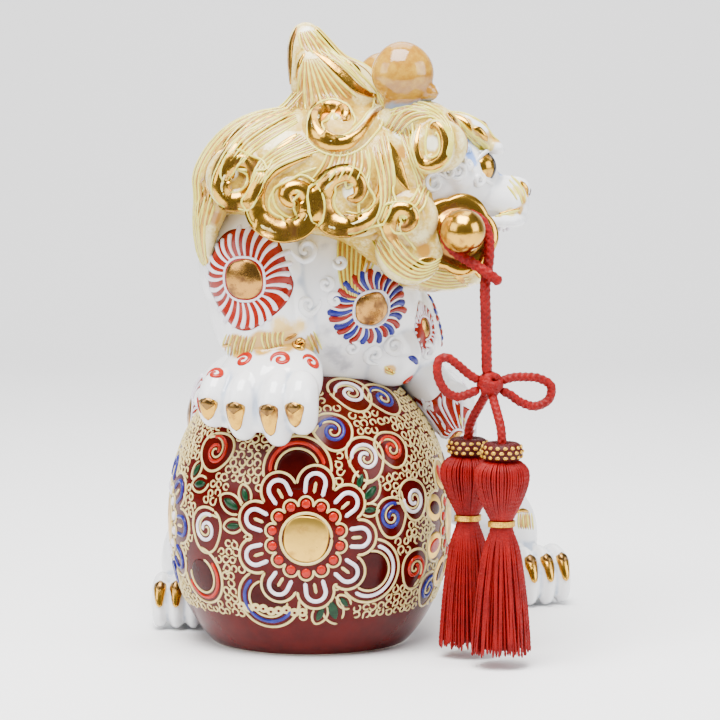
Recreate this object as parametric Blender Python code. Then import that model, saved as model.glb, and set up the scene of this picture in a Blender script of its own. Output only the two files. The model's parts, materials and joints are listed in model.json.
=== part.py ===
"""Guardian lion figurine with its ball and a hanging silk ornament.

The lion is porcelain, cast hollow in moulds and luted together from separate castings:
ball, torso, head, jaw, mane, crest, ears, legs and tail. A gilded bar runs through the
mouth and ends in a knob on either side. A braided cord hangs from the right knob and
carries a knot, two bow loops and two tassels, which swing.

Lengths are in metres. The lion's ball is toward -Y, its face looks along +X and +Z is up.
"""
import math

import bmesh
import bpy
from mathutils import Matrix, Vector

MM = 0.001

# Fits
CLEARANCE = 0.3 * MM  # luting seam between castings, and running gap round a cord
SEAT = 0.3 * MM  # gap between pieces that rest on each other

# Ball: a turned hollow casting on a foot ring
BALL_RADIUS = 55.0 * MM
BALL_HALF_HEIGHT = 63.0 * MM
BALL_CENTRE_HEIGHT = 48.0 * MM
BALL_FULLNESS = 2.2  # 2 is an ellipse, and more is squarer
BALL_WALL = 5.0 * MM
FOOT_RING_WIDTH = 4.2 * MM
FOOT_RING_HEIGHT = 1.6 * MM
BASE_THICKNESS = 5.0 * MM
VENT_RADIUS = 12.0 * MM
FLATS_ALLOWANCE = 0.3 * MM  # the facets of a cut on the ball dip this far toward it
BALL_AXIS = Vector((-27.1, -21.5, 0.0)) * MM  # where the ball's axis meets the floor

# Body castings
BODY_WALL = 6.0 * MM
NECK_PASSAGE_RADIUS = 13.0 * MM
BELLY_VENT_RADIUS = 9.0 * MM

# Head
HEAD_CENTRE = Vector((14.0, -19.0, 180.0)) * MM  # from the ball's axis on the floor
HEAD_ROLL = math.radians(6.0)
EAR_SPACING = 48.0 * MM
EAR_RADIUS = 12.4 * MM
EAR_HEIGHT = 29.5 * MM
CREST_HEIGHT = 40.0 * MM
CURL_RADIUS = 10.5 * MM
CURL_DEPTH = 5.0 * MM
RIDGE_HALF_WIDTH = 2.7 * MM
RIDGE_HALF_DEPTH = 2.6 * MM
# Lines of the curled locks on the right side: forward, right and up in the head, in millimetres
MANE_RIDGES = (
    ((7.1, 16.7, 25.3), (2.3, 24.8, 19.9), (-1.7, 28.4, 15.8), (-7.3, 30.2, 13.0), (-13.0, 29.1, 13.9),
     (-16.7, 25.0, 18.2), (-15.5, 16.7, 24.5), (-10.7, 9.9, 28.2)),
    ((-25.5, 11.6, 24.2), (-33.8, 14.1, 20.3), (-41.5, 15.6, 15.8), (-48.3, 18.0, 8.8), (-52.2, 18.6, 0.9),
     (-50.6, 20.4, -7.0), (-43.1, 25.9, -6.5), (-40.0, 27.2, 1.8)),
    ((-19.4, 33.7, 8.6), (-27.4, 32.2, 5.9), (-34.6, 29.4, 1.9), (-39.2, 28.2, -4.1), (-39.7, 25.8, -12.3),
     (-33.7, 24.9, -18.1), (-25.5, 26.6, -18.8), (-20.4, 33.3, -13.2), (-21.4, 33.1, -5.9)),
    ((5.8, 31.0, 11.2), (7.3, 33.4, 2.7), (6.8, 34.2, -5.9), (3.3, 33.9, -13.6), (-4.2, 34.5, -17.7),
     (-12.7, 34.9, -17.0), (-16.3, 34.4, -10.5), (-14.6, 33.9, -2.4), (-7.2, 34.1, 1.6)),
    ((14.7, 33.4, 22.2), (23.4, 32.0, 23.1), (31.3, 34.6, 14.8), (30.4, 34.2, 7.3), (24.7, 33.8, 6.5)),
)

# Mouth bar and its knobs
BAR_RADIUS = 3.5 * MM
KNOB_SPACING = 49.0 * MM  # between the backs of the two flanges
KNOB_AXIS = Vector((0.069, -0.978, 0.197)).normalized()
KNOB_STUB_LENGTH = 4.0 * MM
KNOB_STUB_RADIUS = 11.0 * MM
FLANGE_RADIUS = 15.4 * MM
FLANGE_THICKNESS = 5.0 * MM
FLANGE_LOBES = 5
KNOB_NECK_RADIUS = 3.6 * MM
DOME_RADIUS = 8.5 * MM
DOME_HEIGHT = 9.6 * MM

# Hanging ornament
CORD_DIAMETER = 4.0 * MM
THIN_CORD_DIAMETER = 3.4 * MM
DROP_LENGTH = 31.5 * MM  # straight part of the cord, from the hitch down to the knot
KNOT_RADIUS = 5.2 * MM
BEAD_RADIUS = 7.9 * MM
BEAD_HEIGHT = 7.2 * MM
TASSEL_LENGTH = 74.4 * MM
TASSEL_HEAD_RADIUS = 10.9 * MM
TASSEL_HEAD_LENGTH = 22.0 * MM
TASSEL_WAIST_RADIUS = 4.6 * MM
TASSEL_HEM_RADIUS = 11.6 * MM
TASSEL_FLATTENING = 0.88  # the two tassels press against each other
CORD_SOCKET_DEPTH = 8.0 * MM
TIE_HEIGHT = 3.0 * MM
TIE_THICKNESS = 1.1 * MM
LEG_DROP = 20.6 * MM  # from the knot's centre down to the top of the beads
FRONT_TASSEL_OFFSET = Vector((2.7, -10.5, 0.0)) * MM
REAR_TASSEL_OFFSET = Vector((-6.4, 11.0, -1.0)) * MM

# Finishes: colour, roughness, metallic
WHITE_GLAZE = ((0.86, 0.87, 0.88, 1.0), 0.12, 0.0)
YELLOW_GLAZE = ((0.87, 0.70, 0.33, 1.0), 0.15, 0.0)
IRON_RED_GLAZE = ((0.30, 0.035, 0.02, 1.0), 0.15, 0.0)
ORANGE_GLAZE = ((0.86, 0.50, 0.14, 1.0), 0.15, 0.0)
GOLD_LUSTRE = ((0.80, 0.56, 0.20, 1.0), 0.22, 1.0)
RED_SILK = ((0.55, 0.01, 0.02, 1.0), 0.75, 0.0)
GOLD_THREAD = ((0.85, 0.55, 0.12, 1.0), 0.40, 0.6)

# Axes of the head, leaning by its roll
FORWARD = Vector((1.0, 0.0, 0.0))
RIGHTWARD = Vector((0.0, -math.cos(HEAD_ROLL), math.sin(HEAD_ROLL)))
UPWARD = Vector((0.0, math.sin(HEAD_ROLL), math.cos(HEAD_ROLL)))
LEFT_TO_RIGHT = (-1, 1)


def mm(x: float, y: float, z: float) -> Vector:
    """Point in the part's frame, from millimetres off the ball's axis on the floor."""
    return BALL_AXIS + Vector((x, y, z)) * MM


def in_head(forward: float, right: float, up: float) -> Vector:
    """Point in the part's frame, from millimetres along the head's own axes."""
    local = FORWARD * forward + RIGHTWARD * right + UPWARD * up
    return BALL_AXIS + HEAD_CENTRE + local * MM


def mirrored(point: Vector) -> Vector:
    """The point's mirror image across the head's middle plane."""
    across = (point - BALL_AXIS - HEAD_CENTRE).dot(RIGHTWARD)
    return point - 2.0 * across * RIGHTWARD


def ball_section(share: float) -> float:
    """The ball's width as a share of its greatest, at a share of its half height from its middle."""
    return max(0.0, 1.0 - abs(share) ** BALL_FULLNESS) ** (1.0 / BALL_FULLNESS)


def on_ball(azimuth: float, height: float, lift: float) -> tuple:
    """Point above the ball's surface, with the outward normal and the downhill direction."""
    share = (height - BALL_CENTRE_HEIGHT) / BALL_HALF_HEIGHT
    radius = BALL_RADIUS * ball_section(share)
    power = BALL_FULLNESS - 1.0
    slope = Vector(((radius / BALL_RADIUS) ** power / BALL_RADIUS,
                    share**power / BALL_HALF_HEIGHT)).normalized()
    out = Vector((math.cos(azimuth), math.sin(azimuth), 0.0))
    up = Vector((0.0, 0.0, 1.0))
    normal = out * slope.x + up * slope.y
    downhill = out * slope.y - up * slope.x
    surface = BALL_AXIS + out * radius + up * height
    return surface + normal * lift, normal, downhill


def remove_everything() -> None:
    """Clear the scene and its meshes, curves and materials."""
    for item in list(bpy.data.objects):
        bpy.data.objects.remove(item, do_unlink=True)
    for store in (bpy.data.meshes, bpy.data.curves, bpy.data.materials):
        for item in list(store):
            store.remove(item)


def finish(obj: bpy.types.Object, look: tuple) -> bpy.types.Object:
    """Give the object its own material."""
    colour, roughness, metallic = look
    material = bpy.data.materials.new(obj.name + "_finish")
    material.use_nodes = True
    shader = material.node_tree.nodes["Principled BSDF"]
    shader.inputs["Base Color"].default_value = colour
    shader.inputs["Roughness"].default_value = roughness
    shader.inputs["Metallic"].default_value = metallic
    obj.data.materials.append(material)
    return obj


def add_object(name: str, bm: bmesh.types.BMesh, location: Vector = None) -> bpy.types.Object:
    """Turn a bmesh into a smooth-shaded object of the scene."""
    mesh = bpy.data.meshes.new(name)
    bm.to_mesh(mesh)
    bm.free()
    mesh.shade_smooth()
    mesh.set_sharp_from_angle(angle=math.radians(40.0))
    obj = bpy.data.objects.new(name, mesh)
    obj.location = location or Vector()
    bpy.context.collection.objects.link(obj)
    return obj


def as_guide(obj: bpy.types.Object) -> bpy.types.Object:
    """Mark an object that only shapes others."""
    obj.hide_render = True
    obj.display_type = "WIRE"
    return obj


def combine(target: bpy.types.Object, guide: bpy.types.Object, operation: str) -> None:
    """Join or cut the target with a guide."""
    modifier = target.modifiers.new(operation.title() + " " + guide.name, "BOOLEAN")
    modifier.operation = operation
    modifier.solver = "EXACT"
    modifier.use_self = operation == "UNION" or "ridge" in guide.name
    modifier.object = as_guide(guide)


def cut(target: bpy.types.Object, *guides: bpy.types.Object) -> bpy.types.Object:
    """Cut the guides out of the target."""
    for guide in guides:
        combine(target, guide, "DIFFERENCE")
    return target


def join(target: bpy.types.Object, *guides: bpy.types.Object) -> bpy.types.Object:
    """Fuse the guides into the target."""
    for guide in guides:
        combine(target, guide, "UNION")
    return target


def smooth_value(values: list, share: float):
    """Value at a share of a smooth curve through the values, which are numbers or vectors."""
    spans = len(values) - 1
    first = min(int(share * spans), spans - 1)
    t = share * spans - first
    b, c = values[first], values[first + 1]
    a = values[first - 1] if first else b * 2.0 - c
    d = values[first + 2] if first + 2 <= spans else c * 2.0 - b
    rise = (c - a) * t
    bend = (a * 2.0 - b * 5.0 + c * 4.0 - d) * (t * t)
    twist = (b * 3.0 - a - c * 3.0 + d) * (t**3)
    return (b * 2.0 + rise + bend + twist) * 0.5


def limb(name: str, spine: list, widths: list, depths: list, side: Vector, fullness: float = 2.4,
         grow: float = 0.0, sides: int = 16, rings: int = 10) -> bpy.types.Object:
    """A closed form that swells and tapers along a spine.

    The spine's ends are the form's tips. Widths are its half sizes along the side direction at
    the spine's points, in millimetres, and depths those across it. A fullness of 2 rounds the
    ends as on an ellipsoid, and more makes them blunter. Grow moves the surface out.
    """
    bm = bmesh.new()
    bmesh.ops.create_uvsphere(bm, u_segments=sides, v_segments=rings, radius=1.0)
    step = 0.01
    for vert in bm.verts:
        along = max(-1.0, min(1.0, vert.co.z))
        share = 0.5 + 0.5 * along
        ahead = smooth_value(spine, min(share + step, 1.0))
        behind = smooth_value(spine, max(share - step, 0.0))
        tangent = (ahead - behind).normalized()
        across = (side - tangent * side.dot(tangent)).normalized()
        outward = tangent.cross(across)
        round_off = max(0.0, 1.0 - abs(along) ** fullness) ** (1.0 / fullness)
        width = (smooth_value(widths, share) * MM + grow) * round_off
        depth = (smooth_value(depths, share) * MM + grow) * round_off
        angle = math.atan2(vert.co.y, vert.co.x)
        tip = tangent * (grow * along)
        vert.co = smooth_value(spine, share) + tip
        vert.co += across * (width * math.cos(angle)) + outward * (depth * math.sin(angle))
    return add_object(name, bm)


def turned(name: str, profile: list, sides: int, lobes: int = 0, lobe_depth: float = 0.0,
           flattening: float = 1.0) -> bpy.types.Object:
    """A turned solid about +Z from a profile of (radius, height) points that starts and ends on the axis.

    Lobes wave the radius round the axis where the profile is widest, and flattening narrows it along Y.
    """
    bm = bmesh.new()
    widest = max(radius for radius, _ in profile)
    verts = [bm.verts.new((radius, 0.0, height)) for radius, height in profile]
    edges = [bm.edges.new(pair) for pair in zip(verts, verts[1:])]
    bmesh.ops.spin(bm, geom=verts + edges, cent=(0, 0, 0), axis=(0, 0, 1), angle=math.tau, steps=sides,
                   use_merge=True)
    bmesh.ops.remove_doubles(bm, verts=bm.verts, dist=0.00001)
    for vert in bm.verts:
        reach = math.hypot(vert.co.x, vert.co.y)
        wave = 1.0 + lobe_depth * (reach / widest) ** 4 * math.cos(lobes * math.atan2(vert.co.y, vert.co.x))
        vert.co.x *= wave
        vert.co.y *= wave * flattening
    bmesh.ops.recalc_face_normals(bm, faces=bm.faces)
    return add_object(name, bm)


def cylinder(name: str, start: Vector, end: Vector, radius: float, sides: int = 20) -> bpy.types.Object:
    """A straight round bar between two points."""
    bm = bmesh.new()
    bmesh.ops.create_cone(bm, cap_ends=True, segments=sides, radius1=radius, radius2=radius,
                          depth=(end - start).length)
    turn = Vector((0, 0, 1)).rotation_difference(end - start).to_matrix().to_4x4()
    bmesh.ops.transform(bm, matrix=Matrix.Translation((start + end) / 2.0) @ turn, verts=bm.verts)
    return add_object(name, bm)


def tube(name: str, route: list, diameter: float, spacing: float, resolution: int = 2) -> bpy.types.Object:
    """A round cord along a smooth curve through the route's points."""
    fine = [smooth_value(route, index / 400.0) for index in range(401)]
    points = [fine[0]]
    for point in fine[1:-1]:
        if (point - points[-1]).length >= spacing and (point - fine[-1]).length >= 0.5 * spacing:
            points.append(point)
    points.append(fine[-1])
    curve = bpy.data.curves.new(name, "CURVE")
    curve.dimensions = "3D"
    curve.bevel_depth = diameter / 2.0
    curve.bevel_resolution = resolution
    curve.use_fill_caps = True
    spline = curve.splines.new("POLY")
    spline.points.add(len(points) - 1)
    for slot, point in zip(spline.points, points):
        slot.co = (*point, 1.0)
    obj = bpy.data.objects.new(name, curve)
    bpy.context.collection.objects.link(obj)
    return obj


def pieces_of_paw(name: str, centre: Vector, forward: Vector, up: Vector, half_width: float, length: float,
                  thickness: float, grow: float = 0.0) -> list:
    """A palm and four toes that curl down at the front, as separate forms to be fused to a leg."""
    side = forward.cross(up).normalized()
    palm = limb(name + "_palm", [centre - forward * (0.95 * length * MM), centre,
                                 centre + forward * (0.98 * length * MM)],
                [0.80 * half_width, 0.98 * half_width, 0.92 * half_width],
                [0.80 * thickness, thickness, 0.78 * thickness], side, 2.8, grow, 14, 7)
    forms = [palm]
    for index in range(4):
        offset = (index - 1.5) / 1.5
        spread = side * (offset * 0.72 * half_width * MM)
        reach = 1.0 - 0.10 * offset * offset
        root = centre + spread * 0.85 + forward * (0.05 * length * MM) + up * (0.15 * thickness * MM)
        knuckle = centre + spread + forward * (0.76 * reach * length * MM) + up * (0.22 * thickness * MM)
        tip = centre + spread * 1.04 + forward * (1.22 * reach * length * MM) - up * (0.95 * thickness * MM)
        toe_width = 0.30 * half_width
        forms.append(limb(f"{name}_toe_{index + 1}", [root, knuckle, tip],
                          [toe_width, toe_width, 0.85 * toe_width],
                          [0.60 * thickness, 0.52 * thickness, 0.42 * thickness], side, 2.4, grow, 8, 6))
    return forms


def build_ball() -> bpy.types.Object:
    """The hollow ball: outer profile, dished base with a vent, and the cavity."""
    def wall_profile(inset: float, low: float, steps: int) -> list:
        """Half section of the ball from its top down to a height, drawn in by the inset."""
        half_height = BALL_HALF_HEIGHT - inset
        end = math.acos((low - BALL_CENTRE_HEIGHT) / half_height)
        shares = [math.cos(end * index / steps) for index in range(steps + 1)]
        return [((BALL_RADIUS - inset) * ball_section(s),
                 BALL_CENTRE_HEIGHT + half_height * s) for s in shares]

    outer = wall_profile(0.0, 0.0, 13)
    inner = wall_profile(BALL_WALL, FOOT_RING_HEIGHT + BASE_THICKNESS, 7)
    rim = outer[-1][0]
    base = [(rim - FOOT_RING_WIDTH, 0.0), (rim - FOOT_RING_WIDTH - FOOT_RING_HEIGHT, FOOT_RING_HEIGHT),
            (VENT_RADIUS, FOOT_RING_HEIGHT), (VENT_RADIUS, FOOT_RING_HEIGHT + BASE_THICKNESS)]
    ball = turned("ball", outer + base + inner[::-1], 36)
    ball.location = BALL_AXIS
    return finish(ball, IRON_RED_GLAZE)


def ball_guide(name: str, grow: float) -> bpy.types.Object:
    """The ball's outer form, grown, for cutting what lies on it."""
    centre = BALL_AXIS + Vector((0, 0, BALL_CENTRE_HEIGHT))
    reach = Vector((0, 0, BALL_HALF_HEIGHT))
    radius = BALL_RADIUS / MM
    return limb(name, [centre - reach, centre + reach], [radius] * 2, [radius] * 2, FORWARD, BALL_FULLNESS,
                grow + FLATS_ALLOWANCE, 40, 22)


def torso_form(name: str, grow: float = 0.0, sides: int = 20, rings: int = 12) -> bpy.types.Object:
    """Rump, belly, chest and neck as one bent form."""
    spine = [mm(17, 96, 52), mm(17, 72, 76), mm(12, 36, 102), mm(7, 2, 124), mm(8, -14, 146),
             mm(12, -17, 172)]
    widths = [31, 38, 37, 39, 35, 24]
    depths = [31, 37, 32, 34, 30, 22]
    return limb(name, spine, widths, depths, FORWARD, 2.5, grow, sides, rings)


def head_form(name: str, grow: float = 0.0, sides: int = 18, rings: int = 12) -> bpy.types.Object:
    """Skull, brow and muzzle along the face's direction."""
    spine = [in_head(-26, 0, 0), in_head(-4, 0, 0), in_head(22, 0, 0), in_head(42, 0, 1),
             in_head(55, 0, -4), in_head(69, 0, -8)]
    widths = [27, 30, 29, 24, 17, 12]
    depths = [27, 30, 28, 21, 14, 9]
    return limb(name, spine, widths, depths, RIGHTWARD, 2.6, grow, sides, rings)


def face_forms(prefix: str) -> list:
    """Muzzle, brows, nostrils and upper lip, which stand out from the skull."""
    muzzle = [in_head(40, 0, -6), in_head(54, 0, -6.5), in_head(62, 0, -7), in_head(68.5, 0, -8.5)]
    forms = [limb(prefix + "_muzzle", muzzle, [17, 15.5, 14.5, 11], [10, 9, 8.6, 7], RIGHTWARD, 2.8,
                  0.0, 14, 8)]
    for hand in LEFT_TO_RIGHT:
        side = "right" if hand > 0 else "left"
        brow = [in_head(31, hand * 9, 24), in_head(40, hand * 12, 21.5), in_head(47.5, hand * 13.5, 17),
                in_head(52.5, hand * 14, 12)]
        nostril = [in_head(52, hand * 7, 1), in_head(59, hand * 6.5, -0.5), in_head(65, hand * 6, -2.5),
                   in_head(67.5, hand * 5.5, -5)]
        lip = [in_head(50, hand * 17.5, -14), in_head(58, hand * 15.5, -14), in_head(64, hand * 11, -13.5),
               in_head(67, 0, -13)]
        forms.append(limb(f"{prefix}_brow_{side}", brow, [5.5, 6.5, 6.5, 4.5], [3.5, 4.5, 5, 3.2],
                          RIGHTWARD, 2.2, 0.0, 10, 8))
        forms.append(limb(f"{prefix}_nostril_{side}", nostril, [3, 3.2, 3.8, 3.4], [2.6, 2.6, 3.4, 3],
                          RIGHTWARD, 2.2, 0.0, 8, 6))
        forms.append(limb(f"{prefix}_lip_{side}", lip, [2.4, 3, 3.2, 2.8], [2.4, 2.6, 2.8, 2.6],
                          RIGHTWARD, 2.2, 0.0, 8, 8))
    return forms


def mane_ridges(prefix: str, hands: tuple = LEFT_TO_RIGHT, grow: float = 0.0,
                lines: tuple = MANE_RIDGES) -> list:
    """The raised locks that wind over the mane, on one side of the head or on both."""
    forms = []
    for hand in hands:
        for number, line in enumerate(lines, 1):
            spine = [in_head(forward, hand * right, up) for forward, right, up in line]
            side = "right" if hand > 0 else "left"
            forms.append(limb(f"{prefix}_ridge_{number}_{side}", spine, [RIDGE_HALF_DEPTH / MM] * len(spine),
                              [RIDGE_HALF_WIDTH / MM] * len(spine), RIGHTWARD, 5.0, grow, 6, 18))
    return forms


def mane_form(name: str, grow: float = 0.0, sides: int = 20, rings: int = 12) -> bpy.types.Object:
    """The thick hair round the back and sides of the head."""
    spine = [in_head(-58, 0, -14), in_head(-35, 0, -5), in_head(-4, 0, -2), in_head(24, 0, -8),
             in_head(35, 0, -9)]
    widths = [26, 32, 35, 33, 30]
    depths = [26, 28, 32.5, 35, 32]
    return limb(name, spine, widths, depths, RIGHTWARD, 2.6, grow, sides, rings)


def build_torso() -> bpy.types.Object:
    """The hollow torso, seated on the ball and open at the neck and the belly."""
    torso = torso_form("torso")
    hollow = torso_form("torso_hollow", -BODY_WALL, 14, 9)
    cut(hollow, ball_guide("ball_clear_of_hollow", BODY_WALL))
    passage = cylinder("neck_passage_torso", mm(12, -17, 146), mm(12, -17, 190), NECK_PASSAGE_RADIUS)
    vent = cylinder("belly_vent_hole", mm(18, 66, 20), mm(18, 66, 70), BELLY_VENT_RADIUS)
    cut(torso, hollow, ball_guide("ball_for_torso", CLEARANCE), passage, vent)
    return finish(torso, WHITE_GLAZE)


def bar_ends() -> tuple:
    """The right knob's seat and its mirror image, on the bar's line."""
    right = in_head(36, 0.5 * KNOB_SPACING / MM, -21.4)
    return right, mirrored(right)


def bar_bore(name: str) -> bpy.types.Object:
    """The bar's bore, long enough to pass right through the head."""
    right, left = bar_ends()
    reach = (right - left) * 0.5
    return cylinder(name, left - reach, right + reach, BAR_RADIUS + CLEARANCE, 16)


def build_head() -> bpy.types.Object:
    """The hollow head, open down into the neck, with the bore for the mouth bar."""
    head = join(head_form("head"), *face_forms("face"))
    hollow = head_form("head_hollow", -BODY_WALL, 12, 9)
    passage = cylinder("neck_passage_head", mm(12, -17, 146), mm(12, -17, 190), NECK_PASSAGE_RADIUS)
    cut(head, hollow, torso_form("torso_for_head", CLEARANCE), passage, bar_bore("bore_in_head"))
    return finish(head, WHITE_GLAZE)


def build_lower_jaw() -> bpy.types.Object:
    """The chin below the mouth bar."""
    spine = [in_head(12, 0, -34), in_head(28, 0, -34.5), in_head(42, 0, -34.5), in_head(51, 0, -32)]
    jaw = limb("lower_jaw", spine, [20, 22, 18, 12], [8.5, 8.5, 8, 6], RIGHTWARD, 2.6, 0.0, 16, 8)
    cut(jaw, head_form("head_for_jaw", CLEARANCE), torso_form("torso_for_jaw", 2 * CLEARANCE),
        mane_form("mane_for_jaw", CLEARANCE))
    return finish(jaw, YELLOW_GLAZE)


def build_mane() -> bpy.types.Object:
    """The mane with its moulded curls, fitted over the head and the shoulders."""
    mane = mane_form("mane")
    curls = [(18, 14, 1.0), (-20, 2, 0.8), (-10, -14, 1.15), (12, -12, 1.15), (28, 12, 0.8)]
    for number, (forward, up, size) in enumerate(curls, 1):
        for hand in LEFT_TO_RIGHT:
            name = f"curl_{number}_{'right' if hand > 0 else 'left'}"
            seat = in_head(forward, hand * 31, up)
            depth = RIGHTWARD * (hand * CURL_DEPTH)
            radius = CURL_RADIUS / MM * size
            join(mane, limb(name, [seat - depth, seat + depth], [radius] * 2, [radius] * 2, FORWARD, 2.0,
                            0.0, 10, 5))
    join(mane, *mane_ridges("mane"))
    cut(mane, head_form("head_for_mane", CLEARANCE), torso_form("torso_for_mane", CLEARANCE),
        bar_bore("bore_in_mane"))
    return finish(mane, YELLOW_GLAZE)


def build_crest() -> bpy.types.Object:
    """The tuft on top of the head, which leans back to a blunt tip."""
    base, height = in_head(-1, 0, 21), CREST_HEIGHT / MM
    spine = [base, in_head(-5.5, 0, 21 + 0.26 * height), in_head(-11.8, 0, 21 + 0.52 * height),
             in_head(-16, 0, 21 + 0.78 * height), in_head(-18.3, 0, 21 + height)]
    crest = limb("crest", spine, [14, 12, 8.5, 6.5, 5.5], [24, 20, 12.5, 9, 7.5], RIGHTWARD, 2.5, 0.0, 14, 11)
    cut(crest, mane_form("mane_for_crest", CLEARANCE), head_form("head_for_crest", CLEARANCE),
        *mane_ridges("crest", LEFT_TO_RIGHT, CLEARANCE))
    return finish(crest, YELLOW_GLAZE)


def build_ear(name: str, hand: int) -> bpy.types.Object:
    """A round cupped ear on a short root."""
    side = hand * 0.5 * EAR_SPACING / MM
    height = EAR_HEIGHT / MM
    spine = [in_head(19.5, side - hand * 4, 22), in_head(17, side, 22 + 0.58 * height),
             in_head(13.5, side, 22 + height)]
    radius = EAR_RADIUS / MM
    ear = limb(name, spine, [0.55 * radius, 0.8 * radius, 0.6 * radius],
               [0.55 * radius, radius, 0.8 * radius],
               RIGHTWARD, 2.2, 0.0, 14, 9)
    cut(ear, mane_form("mane_for_" + name, CLEARANCE), head_form("head_for_" + name, CLEARANCE),
        *mane_ridges(name, (hand,), CLEARANCE))
    return finish(ear, ORANGE_GLAZE)


def build_foreleg(name: str, azimuth: float, height: float, shoulder: Vector,
                  half_width: float) -> bpy.types.Object:
    """Shoulder, foreleg and paw, which rests on the ball and points down its slope."""
    thickness = 0.56 * half_width
    centre, normal, downhill = on_ball(azimuth, height, thickness * 0.85 * MM)
    side = downhill.cross(normal)
    wrist = centre - downhill * (0.25 * half_width * MM)
    top = shoulder + (shoulder - wrist).normalized() * (1.1 * half_width * MM)
    leg = limb(name, [top, shoulder, shoulder.lerp(wrist, 0.6), wrist],
               [0.9 * half_width, 1.12 * half_width, 0.98 * half_width, 0.80 * half_width],
               [0.9 * half_width, 1.10 * half_width, 0.92 * half_width, 0.70 * half_width],
               side, 2.4, 0.0, 18, 11)
    join(leg, *pieces_of_paw(name, centre, downhill, normal, half_width, 0.86 * half_width, thickness))
    cut(leg, ball_guide("ball_for_" + name, SEAT), torso_form("torso_for_" + name, CLEARANCE),
        mane_form("mane_for_" + name, CLEARANCE),
        *mane_ridges(name, LEFT_TO_RIGHT, CLEARANCE, MANE_RIDGES[2:4]))
    return finish(leg, WHITE_GLAZE)


def floor_cutter(name: str) -> bpy.types.Object:
    """A block below the floor, which gives the feet flat soles."""
    bm = bmesh.new()
    bmesh.ops.create_cube(bm, size=0.4, matrix=Matrix.Translation((0, 0, -0.2)))
    return add_object(name, bm)


def build_hindleg(name: str, hip: Vector, knee: Vector, ankle: Vector, foot: Vector, forward: Vector,
                  half_width: float) -> bpy.types.Object:
    """Haunch, shin and foot, which stands on the floor."""
    up = Vector((0, 0, 1))
    side = forward.cross(up)
    haunch_top = hip + (hip - knee).normalized() * (24 * MM)
    haunch = limb(name, [haunch_top, hip, knee, knee + (knee - hip).normalized() * (16 * MM)],
                  [20, 28, 24, 12], [22, 31, 26, 14], FORWARD, 2.3, 0.0, 18, 10)
    shin = limb(name + "_shin", [knee + (knee - ankle).normalized() * (10 * MM), knee.lerp(ankle, 0.4),
                                 ankle, foot],
                [14, 15, 13, 12], [15, 16, 13, 10], side, 2.4, 0.0, 14, 8)
    join(haunch, shin, *pieces_of_paw(name, foot, forward, up, half_width, 1.25 * half_width,
                                      0.80 * half_width))
    cut(haunch, floor_cutter("floor_for_" + name), ball_guide("ball_for_" + name, CLEARANCE),
        torso_form("torso_for_" + name, CLEARANCE))
    return finish(haunch, WHITE_GLAZE)


def build_tail() -> bpy.types.Object:
    """The flame-like tail that lies up the back."""
    spine = [mm(17, 88, 58), mm(17, 100, 82), mm(16, 94, 108), mm(15, 78, 134), mm(15, 72, 150)]
    tail = limb("tail", spine, [9, 15, 17, 12, 2], [7, 9, 10, 8, 2], FORWARD, 2.2, 0.0, 14, 10)
    cut(tail, torso_form("torso_for_tail", CLEARANCE))
    return finish(tail, YELLOW_GLAZE)


def knob_profile() -> list:
    """Half section of a knob from the stub's back to the dome's top, as (radius, height)."""
    neck_start = FLANGE_THICKNESS + 1.4 * MM
    neck_end = neck_start + CORD_DIAMETER + 2 * CLEARANCE
    lip = 0.35 * FLANGE_THICKNESS
    profile = [(0.0, -KNOB_STUB_LENGTH), (KNOB_STUB_RADIUS, -KNOB_STUB_LENGTH), (KNOB_STUB_RADIUS, 0.0),
               (FLANGE_RADIUS - lip, 0.0), (FLANGE_RADIUS, lip), (FLANGE_RADIUS, 2 * lip),
               (0.66 * FLANGE_RADIUS, FLANGE_THICKNESS), (KNOB_NECK_RADIUS + 1.0 * MM, neck_start),
               (KNOB_NECK_RADIUS, neck_start + 0.2 * MM), (KNOB_NECK_RADIUS, neck_end),
               (0.93 * DOME_RADIUS, neck_end)]
    steps = 4
    for index in range(1, steps + 1):
        angle = 0.5 * math.pi * index / steps
        profile.append((DOME_RADIUS * math.cos(angle - 0.25 * (1 - index / steps)),
                        neck_end + DOME_HEIGHT * math.sin(angle)))
    profile[-1] = (0.0, neck_end + DOME_HEIGHT)
    return profile


def loop_height() -> float:
    """Height above the flange's back of the middle of the knob's neck, where the cord loops."""
    return FLANGE_THICKNESS + 1.4 * MM + CLEARANCE + 0.5 * CORD_DIAMETER


def build_knob(name: str, seat: Vector, axis: Vector) -> bpy.types.Object:
    """A gilded knob: lobed flange, neck and dome, with its stub let into the cheek."""
    knob = turned(name, knob_profile(), 25, FLANGE_LOBES, 0.035)
    knob.rotation_mode = "QUATERNION"
    knob.rotation_quaternion = Vector((0, 0, 1)).rotation_difference(axis)
    knob.location = seat
    cut(knob, head_form("head_for_" + name, CLEARANCE), mane_form("mane_for_" + name, CLEARANCE))
    return finish(knob, GOLD_LUSTRE)


def build_bar() -> bpy.types.Object:
    """The bar that the lion bites, from knob to knob."""
    right, left = bar_ends()
    line = (right - left).normalized()
    inset = line * (KNOB_STUB_LENGTH + 3 * CLEARANCE)
    return finish(cylinder("mouth_bar", left + inset, right - inset, BAR_RADIUS, 16), GOLD_LUSTRE)


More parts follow.
